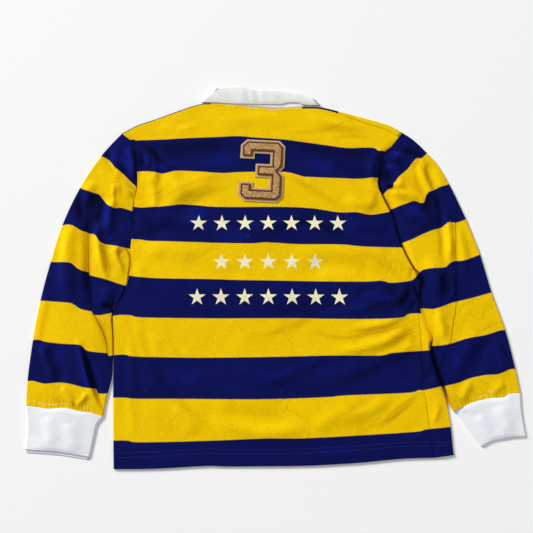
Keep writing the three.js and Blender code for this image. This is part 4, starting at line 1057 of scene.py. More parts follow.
def tube(name, shape, rings, across, floor, loft, values_of, flip, gathers=None, under_longer=0):
    """A closed, flattened tube: its upper face, inner turn, under face and outer turn."""
    v = np.linspace(0, 1, rings)
    fine, coarse = np.linspace(0, 1, across), np.linspace(1, 0, across // 3)

    def plan_of(shares):
        u2, v2 = np.meshgrid(shares, v)
        plan = shape(u2, v2)
        outer = unit(shape(np.zeros_like(v2), v2) - shape(np.full_like(v2, 0.08), v2))
        inner = unit(shape(np.ones_like(v2), v2) - shape(np.full_like(v2, 0.92), v2))
        for side, outward in ((u2, outer), (1 - u2, inner)):
            plan = plan - outward * (FOLD * np.clip(1 - side / TURN_SHARE, 0, 1))[..., None]
        return u2, v2, plan, outer[:, 0], inner[:, 0]

    u2, v2, plan, outer, inner = plan_of(fine)
    over = with_height(plan, tube_height(floor, loft, plan[..., 0], plan[..., 1], u2, v2, gathers))
    _, v3, low, _, _ = plan_of(coarse)
    under = with_height(low, floor(low[..., 0], low[..., 1]))
    under[..., 1] -= under_longer * ease((v3 - 0.5) / 0.5)

    def turn(edge, outward, turns):
        middle = floor(edge[:, 0], edge[:, 1]) + FOLD
        return np.stack([fold_arc(edge, outward, middle, degrees) for degrees in turns], 1)

    points = np.concatenate([over, turn(plan[:, -1], inner, ARC[::-1]),
                             under, turn(plan[:, 0], outer, ARC)], 1)
    return shell(name, points, closed=True, values=values_of(points[..., :2]), flip=flip)


def sleeve_shape(outer, inner, armhole, cuff_seam, shift):
    hole, seam = on(armhole), on(cuff_seam)
    return patch(lambda u: hole(1 - u) + [shift, 0], lambda u: seam(u) + [0, SEAM],
                 on(outer), on(inner))


def cuff_shape(seam, outer, inner, end):
    top = on(seam)
    return patch(lambda u: top(u) - [0, SEAM], on(end), on(outer), on(inner))


LEFT_SLEEVE = sleeve_shape(LEFT_SLEEVE_OUTER, LEFT_SLEEVE_INNER, LEFT_ARMHOLE, LEFT_CUFF_SEAM,
                           -SEAM)
RIGHT_SLEEVE = sleeve_shape(RIGHT_SLEEVE_OUTER, RIGHT_SLEEVE_INNER, RIGHT_ARMHOLE, RIGHT_CUFF_SEAM,
                            SEAM)
LEFT_CUFF = cuff_shape(LEFT_CUFF_SEAM, LEFT_CUFF_OUTER, LEFT_CUFF_INNER, LEFT_CUFF_END)
RIGHT_CUFF = cuff_shape(RIGHT_CUFF_SEAM, RIGHT_CUFF_OUTER, RIGHT_CUFF_INNER, RIGHT_CUFF_END)
SLEEVE_LOFT = 4.0
CUFF_LOFT = 2.0


def left_break(x, y):
    """The hoops of the left sleeve meet at its seam with a small step that grows downwards."""
    return -0.07 * ease((100 - y) / 110)


def make_sleeves():
    def left_values(plan):
        return jersey_values(LEFT_SLEEVE_HOOPS, plan, 1, LEFT_SLEEVE_SEAM, left_break)

    def right_values(plan):
        return jersey_values(RIGHT_SLEEVE_HOOPS, plan, 1, RIGHT_SLEEVE_SEAM)

    return (tube("left_sleeve", LEFT_SLEEVE, 220, 84, on_floor, SLEEVE_LOFT, left_values, True,
                 cuff_gathers),
            tube("right_sleeve", RIGHT_SLEEVE, 220, 84, over_body, SLEEVE_LOFT, right_values, False,
                 cuff_gathers))


def make_cuffs():
    def no_values(_):
        return {}

    return (tube("left_cuff", LEFT_CUFF, 34, 48, on_floor, CUFF_LOFT, no_values, True, under_longer=5),
            tube("right_cuff", RIGHT_CUFF, 34, 42, on_floor, CUFF_LOFT, no_values, False))


# Collar

def collar_stations():
    """Cross-sections of the collar: left front, round its end, back, round its end, right front."""
    opening = 0.02
    shares = np.linspace(opening, 1, 22)
    back_shares = np.linspace(-1, 1, 84)

    def front(side, roll, leaf):
        u = NECK_MIDDLE + side * NECK_HALF * shares
        seam = body_top(u)
        seam[:, 1] -= neck_drop(u)
        seam[-1, 1] += SEAM
        place = (shares - opening) / (1 - opening)
        return seam, on(roll)(place), on(leaf)(place)

    back = (body_top(NECK_MIDDLE + NECK_HALF * back_shares) + [0, SEAM],
            on(ROLL_BACK)((1 + back_shares) / 2), on(LEAF_BACK)((1 + back_shares) / 2))
    left, right = front(-1, ROLL_LEFT, LEAF_LEFT), front(1, ROLL_RIGHT, LEAF_RIGHT)
    turns = [-60, -30, 0, 30, 60]

    def block(tables, turn, side, at_side):
        count = len(tables[0])
        return [dict(seam=tables[0][k], roll=tables[1][k], leaf=tables[2][k], turn=turn, side=side,
                     at_side=at_side(k)) for k in range(count)]

    stations = block(left, -90, -1, lambda k: k == len(shares) - 1)
    stations += [{**stations[-1], "turn": turn} for turn in turns]
    stations += block(back, 90, 1, lambda k: k in (0, len(back_shares) - 1))
    stations[len(shares) + len(turns)]["side"] = -1
    right_block = block(right, -90, 1, lambda k: k == len(shares) - 1)
    stations += [{**right_block[-1], "turn": turn} for turn in turns[::-1]]
    return stations + right_block[::-1]


def collar_points(stations, places):
    """A grid of points: each place gives, for a station, its plan point, reach and distance out."""
    rows = []
    for place in places:
        row = []
        for k, station in enumerate(stations):
            point, reach, out, lift = place(station, k)
            side = np.array([station["side"], 0.0])
            base = point - side * reach if station["at_side"] else point
            angle = math.radians(station["turn"])
            plan = base + side * out * math.cos(angle)
            height = COLLAR_MIDDLE + out * math.sin(angle) + lift * max(0, math.sin(angle))
            row.append([*plan, height])
        rows.append(row)
    return np.array(rows)


def collar_creases(x, share):
    """Small uneven creases that run down the leaf."""
    table = [(-122, 8, 0.6), (-92, 7, -0.4), (-68, 6, 0.5), (-57, 4, -0.4), (-48, 5, 0.5),
             (-36, 4, -0.6), (-27, 5, 0.4), (-4, 9, 0.4), (22, 7, -0.4), (44, 6, 0.5), (66, 7, -0.4)]
    return sum(h * math.exp(-((x - 7 * share - at) / w) ** 2) for at, w, h in table)


def make_collar_stand(stations):
    def place(share):
        def at(station, _):
            down = station["seam"] - station["roll"]
            top = station["roll"] + down / np.linalg.norm(down) * STAND_TOP
            point = station["seam"] + (top - station["seam"]) * share
            return point, FOLD, FOLD, 0.5 * math.sin(math.pi * share)
        return at

    return shell("collar_band", collar_points(stations, [place(s) for s in np.linspace(0, 1, 9)]))


ROLL_LIFT = 0.9


def make_collar_leaf(stations):
    leaf_out = 2 * FOLD
    middle = leaf_out - ROLL

    def along(station, distance):
        down = station["leaf"] - station["roll"]
        return station["roll"] + down / np.linalg.norm(down) * distance

    def round_the_roll(degrees):
        c, s = math.cos(math.radians(degrees)), math.sin(math.radians(degrees))

        def at(station, _):
            return along(station, ROLL + ROLL * c), leaf_out, middle + ROLL * s, ROLL_LIFT
        return at

    def on_the_leaf(share):
        def at(station, _):
            length = np.linalg.norm(station["leaf"] - station["roll"])
            point = along(station, ROLL + (length - ROLL) * share)
            swell = math.sin(math.pi * min(1, share * 0.92 + 0.08)) ** 0.8
            creases = collar_creases(point[0], share) * (0.35 + 0.65 * swell)
            lift = ROLL_LIFT * (1 - share) + 1.5 * swell + creases
            edge_wave = 0.8 * math.exp(-((point[0] - 30) / 26) ** 2) * share ** 3
            return point, leaf_out, leaf_out, lift + edge_wave
        return at

    places = [round_the_roll(d) for d in (-90, -120, -150, 180, 150, 120)]
    places += [on_the_leaf(s) for s in np.linspace(0, 1, 20)]
    points = collar_points(stations, places)
    return shell("collar_fall", points, flip=True), points


# Numeral

def numeral_outline():
    w, h = NUMERAL["width"], NUMERAL["height"]
    s, arm, c = NUMERAL_STROKE, NUMERAL_ARM, NUMERAL_CUT
    inner, half = w - s, h / 2
    return np.array([
        [c, 0], [w - c, 0], [w, c], [w, half - WAIST_HALF], [w - WAIST_DEPTH, half], [w, half + WAIST_HALF],
        [w, h - c], [w - c, h], [c, h], [0, h - c], [0, h - arm], [s, h - arm], [s, h - s],
        [inner, h - s], [inner, half + s / 2], [BAR_START, half + s / 2], [BAR_START, half - s / 2],
        [inner, half - s / 2], [inner, s], [s, s], [s, arm], [0, arm], [0, c]], float)


def inset(points, border):
    """An outline drawn in by a border."""
    before = unit(points - np.roll(points, 1, axis=0))
    after = unit(np.roll(points, -1, axis=0) - points)
    bend = 1 + np.sum(before * after, axis=1, keepdims=True)
    turned = np.stack([-(before + after)[:, 1], (before + after)[:, 0]], -1)
    return points + turned * border / bend


def on_back(points, height):
    """Points of the numeral's own plane, turned and laid on the back."""
    centre = np.array([NUMERAL["width"] / 2, NUMERAL["height"] / 2])
    angle = math.radians(NUMERAL["tilt"])
    turn = np.array([[math.cos(angle), math.sin(angle)], [-math.sin(angle), math.cos(angle)]])
    plan = (points - centre) @ turn + centre + [NUMERAL["x"], NUMERAL["y"]]
    return with_height(plan, np.full(plan.shape[:-1], 0.0) + height)


def depth_inside(points, outline):
    """Distance to the outline, positive inside it."""
    x, y = points[..., 0], points[..., 1]
    best = np.full(x.shape, FAR)
    inside = np.zeros(x.shape, bool)
    for a, b in zip(outline, np.roll(outline, -1, axis=0)):
        _, gap_x, gap_y = to_segment(x, y, a, b)
        best = np.minimum(best, np.hypot(gap_x, gap_y))
        if a[1] != b[1]:
            crosses = (a[1] > y) != (b[1] > y)
            inside ^= crosses & (x < a[0] + (y - a[1]) * (b[0] - a[0]) / (b[1] - a[1]))
    return np.where(inside, best, -best)


def make_felt():
    outline = numeral_outline()
    low = NUMERAL_HEIGHT + CLEAR
    rings = [(0, low), (0, low + FELT - 0.5), (0.15, low + FELT - 0.15), (0.5, low + FELT)]
    vertices = np.concatenate([on_back(inset(outline, border), z) for border, z in rings])
    n = len(outline)
    faces = [[r * n + k, r * n + (k + 1) % n, (r + 1) * n + (k + 1) % n, (r + 1) * n + k]
             for r in range(len(rings) - 1) for k in range(n)]
    faces += [list(range(3 * n, 4 * n)), list(range(n))[::-1]]
    return new_object("numeral_felt", vertices, faces, shade=False)


# Pile: its grid, how far inside the felt the chain and the pile begin, and its rows and loops
PILE_CELL = 0.85
CHAIN_EDGE = NUMERAL_BORDER + 1.4
PILE_EDGE = NUMERAL_BORDER + 2.6
PILE_WALL = 1.2
ROW_PITCH, LOOP_PITCH = 3.9, 3.3
PILE_REST = NUMERAL_HEIGHT + FELT + 2 * CLEAR


def make_pile():
    """Looped yarn: a dense ground whose loops stand up in slanting rows."""
    w, h = NUMERAL["width"], NUMERAL["height"]
    x, y = np.meshgrid(np.arange(0, w, PILE_CELL), np.arange(0, h, PILE_CELL))
    plan = np.stack([x, y], -1)
    depth = depth_inside(plan, inset(numeral_outline(), PILE_EDGE))
    rng = np.random.default_rng(8)
    wander = ripple(x, y, 21, 14) * 1.1
    rows = np.sin((x * 0.83 + y * 0.56 + wander) * math.tau / ROW_PITCH)
    loops = np.sin((x * -0.56 + y * 0.83 + 1.3 * rows + wander) * math.tau / LOOP_PITCH)
    loose = rng.uniform(-0.3, 0.3, x.shape)
    rise = (CHENILLE - 0.9) * ease((depth + 1.2) / 3.0)
    height = PILE_REST + rise + 0.5 * rows + 0.5 * loops + loose
    points = on_back(plan + rng.uniform(-0.2, 0.2, plan.shape), height)
    inside = depth > -0.6
    keep = inside[:-1, :-1] & inside[1:, 1:] & inside[:-1, 1:] & inside[1:, :-1]
    return shell("numeral_pile", points, wall=PILE_WALL, keep=keep,
                 values={"loop": rows * 0.5 + loops * 0.5})


def along_line(points, spacing, closed=False):
    """Even places on a polyline: their points and the direction there."""
    if closed:
        points = np.concatenate([points, points[:1]])
    lengths = np.concatenate([[0], np.cumsum(np.linalg.norm(np.diff(points, axis=0), axis=1))])
    count = max(2, int(lengths[-1] / spacing))
    at = (np.arange(count) + 0.5) * lengths[-1] / count

    def points_at(distances):
        return np.stack([np.interp(distances, lengths, column) for column in points.T], -1)

    nudge = 0.3 * spacing
    return points_at(at), unit(points_at(at + nudge) - points_at(at - nudge))


def joined(name, parts):
    """One object from many small meshes of points and faces."""
    vertices, faces, start = [], [], 0
    for points, own in parts:
        vertices.append(points)
        faces += [[start + k for k in face] for face in own]
        start += len(points)
    return new_object(name, np.concatenate(vertices), faces)


def link_shape(long, wide, thick, around=10, section=6):
    """A flat oval ring of yarn, along +X."""
    a, b = np.meshgrid(np.arange(around) * math.tau / around,
                       np.arange(section) * math.tau / section, indexing="ij")
    ring = 1 + (thick / wide) * np.cos(b)
    points = np.stack([long * np.cos(a) * ring, wide * np.sin(a) * ring, thick * np.sin(b)], -1)
    faces = [[i * section + j, ((i + 1) % around) * section + j,
              ((i + 1) % around) * section + (j + 1) % section, i * section + (j + 1) % section]
             for i in range(around) for j in range(section)]
    return points.reshape(-1, 3), faces


def placed(shape, place, direction):
    """A small shape turned so that its +X runs along a direction."""
    x = np.array(direction) / np.linalg.norm(direction)
    y = np.cross((0, 0, 1), x)
    y = y / np.linalg.norm(y)
    return shape[0] @ np.array([x, y, np.cross(x, y)]) + place, shape[1]


def make_chain():
    """The dark chain stitch that runs round the pile."""
    line = on_back(inset(numeral_outline(), CHAIN_EDGE), PILE_REST + 0.8)
    link = link_shape(2.0, 1.6, 0.66)
    parts = [placed(link, place + [0, 0, 0.22 * (k % 2)], direction + [0, 0, 0.18 * (-1) ** k])
             for k, (place, direction) in enumerate(zip(*along_line(line, 2.9, closed=True)))]
    return joined("numeral_chain", parts)


# Sewing

def stitch_shape(length, radius, sides=6, rings=5):
    """A short thread that dips in at both ends."""
    points, faces = [], []
    for r in range(rings):
        t = r / (rings - 1)
        bow = math.sin(math.pi * t)
        size = radius * (0.45 + 0.55 * bow ** 0.5)
        for s in range(sides):
            a = math.tau * s / sides
            points.append([(t - 0.5) * length, size * math.cos(a),
                           size * math.sin(a) + radius * (1.1 * bow - 0.7)])
    for r in range(rings - 1):
        for s in range(sides):
            n = (s + 1) % sides
            faces.append([r * sides + s, (r + 1) * sides + s, (r + 1) * sides + n, r * sides + n])
    faces += [list(range(sides)), [(rings - 1) * sides + s for s in range(sides)][::-1]]
    return np.array(points), faces


def stitches(name, lines, seed, spacing=3.3, length=2.6, radius=0.3):
    """Rows of slightly uneven stitches along lines, as one object."""
    rng = np.random.default_rng(seed)
    shape = stitch_shape(length, radius)
    parts = []
    for line in lines:
        for place, direction in zip(*along_line(np.asarray(line, float), spacing)):
            wobble = direction + rng.normal(0, 0.03, 3)
            parts.append(placed(shape, place + rng.normal(0, 0.06, 3) * [1, 1, 0], wobble))
    return joined(name, parts)


# Shares along a piece where its rows of stitching run
HEM_ROWS = (0.0345, 0.0445)
NECK_ROW = 0.9905
CUFF_ROWS = (0.962, 0.978)


def make_stitching(leaf_points):
    u = np.linspace(0.006, 0.994, 240)
    hem = []
    for v in HEM_ROWS:
        wrap = wrap_point(np.linspace(0.06, 0.94, 20), np.full(20, v))
        hem += [back_point(u, np.full_like(u, v)), wrap]
    neck_u = np.linspace(NECK_LEFT + 0.004, NECK_RIGHT - 0.004, 120)
    neck = [back_point(neck_u, np.full_like(neck_u, NECK_ROW))]
    hem_thread = stitches("hem_stitches", hem, seed=2)
    neck_thread = stitches("neck_stitches", neck, spacing=3.0, radius=0.42, seed=3)

    def cuff_lines(shape, floor):
        lines = []
        s = np.linspace(0.03, 0.97, 120)
        for share in CUFF_ROWS:
            v = np.full_like(s, share)
            plan = shape(s, v)
            z = tube_height(floor, SLEEVE_LOFT, plan[:, 0], plan[:, 1], s, v, cuff_gathers)
            lines.append(with_height(plan, z))
        return lines

    cuff_thread = stitches("cuff_stitches", cuff_lines(LEFT_SLEEVE, on_floor)
                           + cuff_lines(RIGHT_SLEEVE, over_body), spacing=2.9, radius=0.4, seed=4)
    top = [p for p in leaf_points[-4] if p[2] > 2 * COLLAR_MIDDLE - 0.6]
    collar_thread = stitches("collar_stitches", [top], spacing=2.8, length=2.2, radius=0.26, seed=5)
    return hem_thread, neck_thread, cuff_thread, collar_thread


# Finishes

class Value:
    """A socket of a finish; sums and products of values add its Math nodes."""

    def __init__(self, finish, socket):
        self.finish, self.socket = finish, socket

    def math(self, operation, *others):
        return self.finish.node("ShaderNodeMath", {"operation": operation}, [self, *others])

    def __add__(self, other):
        return self.math("ADD", other)

    def __sub__(self, other):
        return self.math("SUBTRACT", other)

    def __rsub__(self, other):
        return self.finish.node("ShaderNodeMath", {"operation": "SUBTRACT"}, [other, self])

    def __mul__(self, other):
        return self.math("MULTIPLY", other)

    def __truediv__(self, other):
        return self.math("DIVIDE", other)

    def __mod__(self, other):
        return self.math("FLOORED_MODULO", other)

    __radd__ = __add__
    __rmul__ = __mul__

    def clamped(self):
        return self.finish.node("ShaderNodeClamp", {}, [self])

    def step(self, low, high):
        """0 below low and 1 above high, with a soft climb between."""
        return self.finish.node("ShaderNodeMapRange", {"interpolation_type": "SMOOTHSTEP"},
                                {"Value": self, "From Min": low, "From Max": high})


class Finish:
    """A material whose nodes are made by one method."""

    def __init__(self, name, roughness=0.85, sheen=0.0, specular=0.2):
        self.material = bpy.data.materials.new(name)
        self.material.use_nodes = True
        self.tree = self.material.node_tree
        self.shader = self.tree.nodes["Principled BSDF"]
        self.set(Roughness=roughness, **{"Sheen Weight": sheen, "Sheen Roughness": 0.45,
                                         "Specular IOR Level": specular})

    def node(self, kind, settings=None, inputs=None, output=0):
        made = self.tree.nodes.new(kind)
        for key, value in (settings or {}).items():
            setattr(made, key, value)
        pairs = inputs.items() if isinstance(inputs, dict) else enumerate(inputs or [])
        for key, value in pairs:
            if isinstance(value, Value):
                self.tree.links.new(value.socket, made.inputs[key])
            else:
                made.inputs[key].default_value = value
        return Value(self, made.outputs[output])

    def set(self, **values):
        for key, value in values.items():
            if isinstance(value, Value):
                self.tree.links.new(value.socket, self.shader.inputs[key])
            else:
                self.shader.inputs[key].default_value = value

    def attribute(self, name):
        return self.node("ShaderNodeAttribute", {"attribute_name": name}, output=2)

    def place(self):
        return self.node("ShaderNodeTexCoord", output=3)

    def axis(self, name):
        return self.node("ShaderNodeSeparateXYZ", {}, [self.place()], output="XYZ".index(name)) / MM

    def noise(self, scale, detail=2.0, roughness=0.5):
        return self.node("ShaderNodeTexNoise", {}, {"Vector": self.place(), "Scale": scale,
                                                    "Detail": detail, "Roughness": roughness})

    def mixed(self, factor, a, b):
        a, b = ((*c, 1) if isinstance(c, tuple) else c for c in (a, b))
        return self.node("ShaderNodeMix", {"data_type": "RGBA"}, {0: factor, 6: a, 7: b}, output=2)

    def shaded(self, colour, amount):
        """A colour, darker or lighter by an amount round 1."""
        return self.node("ShaderNodeVectorMath", {"operation": "SCALE"},
                         {"Vector": colour, "Scale": amount})

    def bump(self, height, distance):
        self.set(Normal=self.node("ShaderNodeBump", {}, {"Height": height, "Distance": distance}))

    def knit(self, wale=1.15, course=0.9):
        """Height of a fine plain knit: small V-shaped loops in columns."""
        x, y = self.axis("X"), self.axis("Y")
        column = (x * (math.tau / wale)).math("SINE").math("ABSOLUTE")
        row = ((y + column * 0.35) * (math.tau / course)).math("SINE")
        return column * 0.6 + row * 0.4


def srgb(*channels):
    """A colour of three values up to 255, as the shader wants it."""
    shares = [c / 255 for c in channels]
    return tuple(c / 12.92 if c <= 0.04045 else ((c + 0.055) / 1.055) ** 2.4 for c in shares)


# Painted light and shade: lit and shaded copies of the yellow and the navy for the sides of folds, and
# darker colours for painted shade in creases
YELLOW_LIT = srgb(255, 224, 14)
YELLOW = srgb(250, 205, 1)
YELLOW_FOLD_SHADE = srgb(238, 170, 0)
YELLOW_SHADE = srgb(212, 146, 0)
YELLOW_CREASE_SHADE = srgb(52, 30, 6)
YELLOW_SPECK = srgb(120, 84, 20)
NAVY_LIT = srgb(13, 27, 124)
NAVY = srgb(11, 18, 86)
NAVY_FOLD_SHADE = srgb(4, 7, 54)
NAVY_CREASE_SHADE = srgb(1, 1, 16)
NAVY_LINT = srgb(120, 125, 190)
CREAM = srgb(250, 245, 205)

# Printed stars: height of each row, place of its first star, and how many
STAR_ROWS = [(86, -150, 7), (8, -104, 5), (-62, -150, 7)]
STAR_STEP = 46
STAR_RADIUS = 17.5


def star_mask(finish):
    """Plain five-pointed stars in three straight rows."""
    x, y = finish.axis("X"), finish.axis("Y")
    total = None
    for height, first, count in STAR_ROWS:
        start = first - STAR_STEP / 2
        local_x = (x - start) % STAR_STEP - STAR_STEP / 2
        local_y = y - height
        angle = local_x.math("ARCTAN2", local_y) + math.tau
        wedge = ((angle + math.tau / 10) % (math.tau / 5) - math.tau / 10).math("ABSOLUTE")
        radius = (local_x * local_x + local_y * local_y).math("SQRT")
        across = radius * wedge.math("SINE")
        up = radius * wedge.math("COSINE")
        edge = (STAR_RADIUS - up) * math.tan(math.radians(18)) - across
        ends = (x - start).step(0, 0.1) * (start + count * STAR_STEP - x).step(0, 0.1)
        mask = edge.step(-0.25, 0.35) * ends
        total = mask if total is None else total.math("MAXIMUM", mask)
    return total


HOOP_EDGE = 0.011       # softness of a hoop's edge, in hoops
PAINTED_LIGHT_FULL = 1.1          # the painted light's tone that shows in full


def cloth_tones(finish):
    """The yellow and the navy cloth with painted light and shade on their folds, random mottle, specks,
    lint, and painted shade in their creases.
    """
    # Painted light and shade on the folds, broken up by random mottle
    nap = finish.attribute("nap") + (finish.noise(15, 4) - 0.5) * 1.5
    lit, dim = nap.step(0.0, PAINTED_LIGHT_FULL), (0 - nap).step(0.0, PAINTED_LIGHT_FULL)
    yellow = finish.mixed(dim, finish.mixed(lit, YELLOW, YELLOW_LIT), YELLOW_FOLD_SHADE)
    navy = finish.mixed(dim, finish.mixed(lit, NAVY, NAVY_LIT), NAVY_FOLD_SHADE)
    yellow = finish.mixed(finish.noise(160, 1).step(0.765, 0.80) * 0.55, yellow, YELLOW_SPECK)
    navy = finish.mixed(finish.noise(230, 1).step(0.785, 0.81) * 0.35, navy, NAVY_LINT)
    # Painted shade in the creases: towards orange-brown and then dark brown on the yellow, towards near
    # black on the navy
    crevice = finish.attribute("crevice")
    yellow = finish.mixed((crevice * 1.8).clamped(), yellow, YELLOW_SHADE)
    yellow = finish.mixed((crevice * 2.4 - 1).clamped(), yellow, YELLOW_CREASE_SHADE)
    return yellow, finish.mixed((crevice * 1.6).clamped(), navy, NAVY_CREASE_SHADE)


def jersey(name, printed=False):
    """Heavy, soft knitted cotton in hoops, with painted light and shade on its folds, painted shade in its
    creases, seam lines, fine wrinkles with a little painted shade along them, and worn stars where printed.
    """
    finish = Finish(name, roughness=0.9, specular=0.06)
    seam = finish.attribute("seam")
    hoop = finish.attribute("hoop") + finish.noise(420, 2) * 0.016 - 0.008
    hoop = hoop + seam.step(-0.1, 0.1) * finish.attribute("shift")
    from_edge = (hoop.math("PINGPONG", 0.5) / HOOP_EDGE).math("MINIMUM", 1)
    is_navy = (0.5 + ((hoop % 2).math("FLOOR") * 2 - 1) * from_edge * 0.5).clamped()
    colour = finish.mixed(is_navy, *cloth_tones(finish))
    if printed:
        worn = finish.noise(420, 2).step(0.30, 0.42)
        colour = finish.mixed(star_mask(finish) * (0.93 + worn * 0.07), colour, CREAM)
    grain, fibre = finish.noise(650, 2), finish.noise(2200, 1)
    colour = finish.shaded(colour, 0.67 + grain * 0.26 + fibre * 0.1 + finish.noise(260, 2) * 0.3)
    seam_line = 1 - seam.math("ABSOLUTE").step(0.15, 1.5)
    # Fine wrinkles: bumped, and a little painted shade darkens their lines
    wrinkle = (1 - (finish.noise(12, 3) - 0.5).math("ABSOLUTE") * 26).clamped()
    wrinkle = wrinkle * finish.noise(7, 1).step(0.46, 0.62)
    finish.set(**{"Base Color": finish.shaded(colour, 1 - seam_line * 0.42 - wrinkle * 0.07)})
    soft = finish.noise(55, 3) * 0.5
    finish.bump(finish.knit() * 0.22 + grain * 0.35 + soft - seam_line * 1.6 - wrinkle * 0.7, 0.0009)
    return finish.material


def white_twill(name):
    """Woven cotton with a fine diagonal and soft rubbed creases."""
    finish = Finish(name, roughness=0.78, sheen=0.08)
    x, y = finish.axis("X"), finish.axis("Y")
    diagonal = ((x + y) * math.tau).math("SINE")
    cloud = finish.noise(28, 3)
    colour = finish.mixed(cloud.step(0.35, 0.7), srgb(254, 254, 250), srgb(246, 247, 243))
    colour = finish.shaded(colour, 0.95 + finish.noise(700, 2) * 0.1)
    finish.set(**{"Base Color": colour})
    finish.bump(diagonal * 0.16 + finish.noise(90, 3) * 0.8, 0.0006)
    return finish.material


def white_rib(name):
    """Close fine knit with a soft nap."""
    finish = Finish(name, roughness=0.9, sheen=0.15)
    cloud = finish.noise(22, 3)
    colour = finish.mixed(cloud.step(0.3, 0.7), srgb(243, 246, 250), srgb(232, 236, 242))
    colour = finish.shaded(colour, 0.92 + finish.noise(700, 2) * 0.16)
    finish.set(**{"Base Color": colour})
    ribs = (finish.axis("X") * (math.tau / 1.6)).math("SINE")
    finish.bump(ribs * 0.1 + finish.noise(300, 2) * 0.7 + finish.noise(38, 2) * 0.6, 0.0006)
    return finish.material


def thread(name, colour):
    """Plain twisted thread."""
    finish = Finish(name, roughness=0.6, sheen=0.1)
    x, y = finish.axis("X"), finish.axis("Y")
    twist = ((x * 0.8 + y * 0.6) * (math.tau / 0.5)).math("SINE")
    # Painted shade and light along the twist, following its bump
    finish.set(**{"Base Color": finish.shaded(colour, 0.92 + twist * 0.08)})
    finish.bump(twist, 0.00008)
    return finish.material


def hoop_thread(name):
    """Thread that matches the cloth: yellow, with white bits where it has worn."""
    finish = Finish(name, roughness=0.6, sheen=0.1)
    worn = finish.noise(38, 2).step(0.5, 0.55)
    finish.set(**{"Base Color": finish.mixed(worn, srgb(226, 178, 10), srgb(246, 240, 214))})
    finish.bump(finish.noise(1500, 1), 0.0001)
    return finish.material


def felt_cloth(name):
    finish = Finish(name, roughness=0.95, sheen=0.25)
    fibre = finish.noise(420, 4, roughness=0.65)
    finish.set(**{"Base Color": finish.mixed(fibre, srgb(214, 180, 138), srgb(188, 152, 112))})
    finish.bump(fibre + finish.noise(1400, 2) * 0.5, 0.0005)
    return finish.material


def looped_yarn(name):
    finish = Finish(name, roughness=0.95, sheen=0.3)
    loop = finish.attribute("loop")
    tuft = finish.noise(300, 2, roughness=0.7).step(0.38, 0.64)
    # Painted shade and light: the yarn is darker where the pile's loops and rows dip and lighter on their
    # tops, mixed with tufts that vary at random
    colour = finish.mixed(loop.step(-0.8, 0.7) * 0.4 + tuft * 0.6, srgb(128, 84, 36), srgb(232, 194, 128))
    colour = finish.shaded(colour, 0.8 + finish.noise(700, 2) * 0.4)
    finish.set(**{"Base Color": colour})
    finish.bump(finish.noise(1500, 2), 0.0004)
    return finish.material


def chain_yarn(name):
    finish = Finish(name, roughness=0.8, sheen=0.2)
    finish.set(**{"Base Color": finish.mixed(finish.noise(500, 2), srgb(92, 40, 16), srgb(132, 66, 30))})
    finish.bump(finish.noise(1600, 2), 0.0003)
    return finish.material


def button_rubber(name):
    finish = Finish(name, roughness=0.5)
    cloud = finish.noise(120, 2)
    finish.set(**{"Base Color": finish.mixed(cloud, srgb(238, 238, 232), srgb(224, 224, 216))})
    finish.bump(finish.noise(900, 2), 0.00006)
    return finish.material


def dress(piece, material, slot, *nodes):
    """Gives a piece its finish and its body, and hides the solids that it stands for; the slot is not used.
    """
    piece.data.materials.clear()
    piece.data.materials.append(material)
    if piece.name not in frame["nodes"]:
        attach(piece, "root")
    if nodes:
        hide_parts(*nodes)
    return piece


# The shirt
twill, rib = white_twill("collar_twill"), white_rib("cuff_rib")
back = dress(make_back(), jersey("back_jersey", printed=True), "hooped_jersey", "back_panel")
front = dress(make_front(), jersey("front_jersey"), "hooped_jersey", "front_panel")
left_sleeve, right_sleeve = make_sleeves()
dress(left_sleeve, jersey("left_sleeve_jersey"), "hooped_jersey", "sleeve_left")
dress(right_sleeve, jersey("right_sleeve_jersey"), "hooped_jersey", "sleeve_right")
left_cuff, right_cuff = make_cuffs()
dress(left_cuff, rib, "cuff_rib", "cuff_left")
dress(right_cuff, rib, "cuff_rib", "cuff_right")
stations = collar_stations()
collar_band = dress(make_collar_stand(stations), twill, "collar_twill", "collar_stand")
leaf, leaf_points = make_collar_leaf(stations)
dress(leaf, twill, "collar_twill", "collar_leaf")
felt = dress(make_felt(), felt_cloth("numeral_felt_wool"), "tan_felt", "patch_felt")
pile = dress(make_pile(), looped_yarn("numeral_loops"), "tan_chenille", "patch_chenille")
chain = dress(make_chain(), chain_yarn("numeral_edge_yarn"), "tan_chenille")
hem_thread, neck_thread, cuff_thread, collar_thread = make_stitching(leaf_points)
dress(hem_thread, thread("navy_thread", srgb(44, 48, 128)), "hooped_jersey")
dress(neck_thread, hoop_thread("neck_thread"), "hooped_jersey")
dress(cuff_thread, hoop_thread("cuff_thread"), "hooped_jersey")
dress(collar_thread, thread("white_thread", srgb(214, 217, 222)), "collar_twill")
nodes = frame["nodes"]
for name in ("placket_upper", "placket_under"):
    dress(nodes[name], twill, "collar_twill")
rubber = button_rubber("button_rubber")
for k in (1, 2, 3):
    dress(nodes[f"button_{k}"], rubber, "button_rubber")


# Floor, light and camera

# Half the floor's side in millimetres, and how far it lies below the shirt in metres
FLOOR_HALF = 4000
FLOOR_GAP = 0.0002


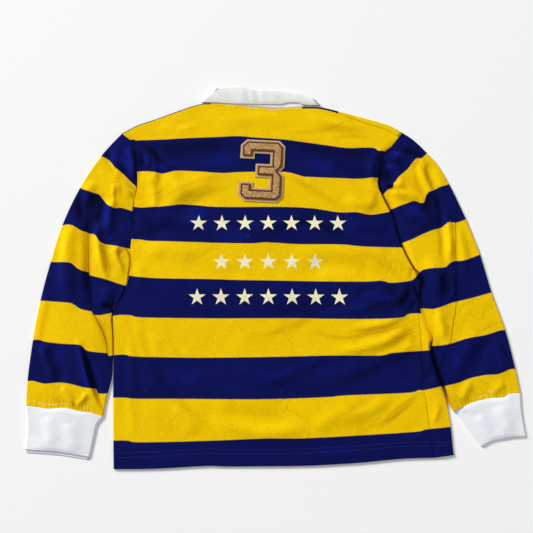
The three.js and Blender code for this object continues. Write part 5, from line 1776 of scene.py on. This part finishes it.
def make_floor():
    signs = ((-1, -1), (1, -1), (1, 1), (-1, 1))
    floor = new_object("floor", [[FLOOR_HALF * x, FLOOR_HALF * y, 0] for x, y in signs], [[0, 1, 2, 3]])
    finish = Finish("floor_paint", roughness=0.9)
    finish.set(**{"Base Color": (0.96, 0.96, 0.96, 1)})
    floor.data.materials.append(finish.material)
    floor.location.z = -FLOOR_GAP


def make_light(name, place, size, energy):
    """A square soft light that looks at the shirt."""
    light = bpy.data.lights.new(name, "AREA")
    light.shape, light.size, light.energy = "SQUARE", size, energy
    lamp = bpy.data.objects.new(name, light)
    bpy.context.scene.collection.objects.link(lamp)
    lamp.location = place
    lamp.rotation_euler = (-Vector(place)).to_track_quat("-Z", "Y").to_euler()


# Camera: metres from the cloth, degrees off the vertical, place along X, and lens in millimetres
CAMERA_DISTANCE, CAMERA_TILT, CAMERA_CENTRE = 1.3, 11.6, -0.0156
CAMERA_LENS, SENSOR = 44.69, 36
CLOTH_TOP = 0.0015
STUDIO_GLOW = 0.24


def make_camera():
    data = bpy.data.cameras.new("camera")
    data.lens, data.sensor_width, data.clip_start = CAMERA_LENS, SENSOR, 0.01
    camera = bpy.data.objects.new("camera", data)
    bpy.context.scene.collection.objects.link(camera)
    tilt = math.radians(CAMERA_TILT)
    camera.location = (CAMERA_CENTRE, -CAMERA_DISTANCE * math.sin(tilt),
                       CAMERA_DISTANCE * math.cos(tilt) + CLOTH_TOP)
    camera.rotation_euler = (tilt, 0, 0)
    bpy.context.scene.camera = camera


make_floor()
make_light("key", (-10.8, 8.6, 6.8), 4.0, 2950)
make_light("fill", (2.6, -1.2, 4.2), 5.0, 62)
world = bpy.data.worlds.new("studio")
world.use_nodes = True
background = world.node_tree.nodes["Background"]
background.inputs["Color"].default_value = (1, 1, 1, 1)
background.inputs["Strength"].default_value = STUDIO_GLOW
bpy.context.scene.world = world
bpy.context.scene.view_settings.view_transform = "Standard"
make_camera()


def corners(bounds):
    return [list(corner) for corner in bounds]
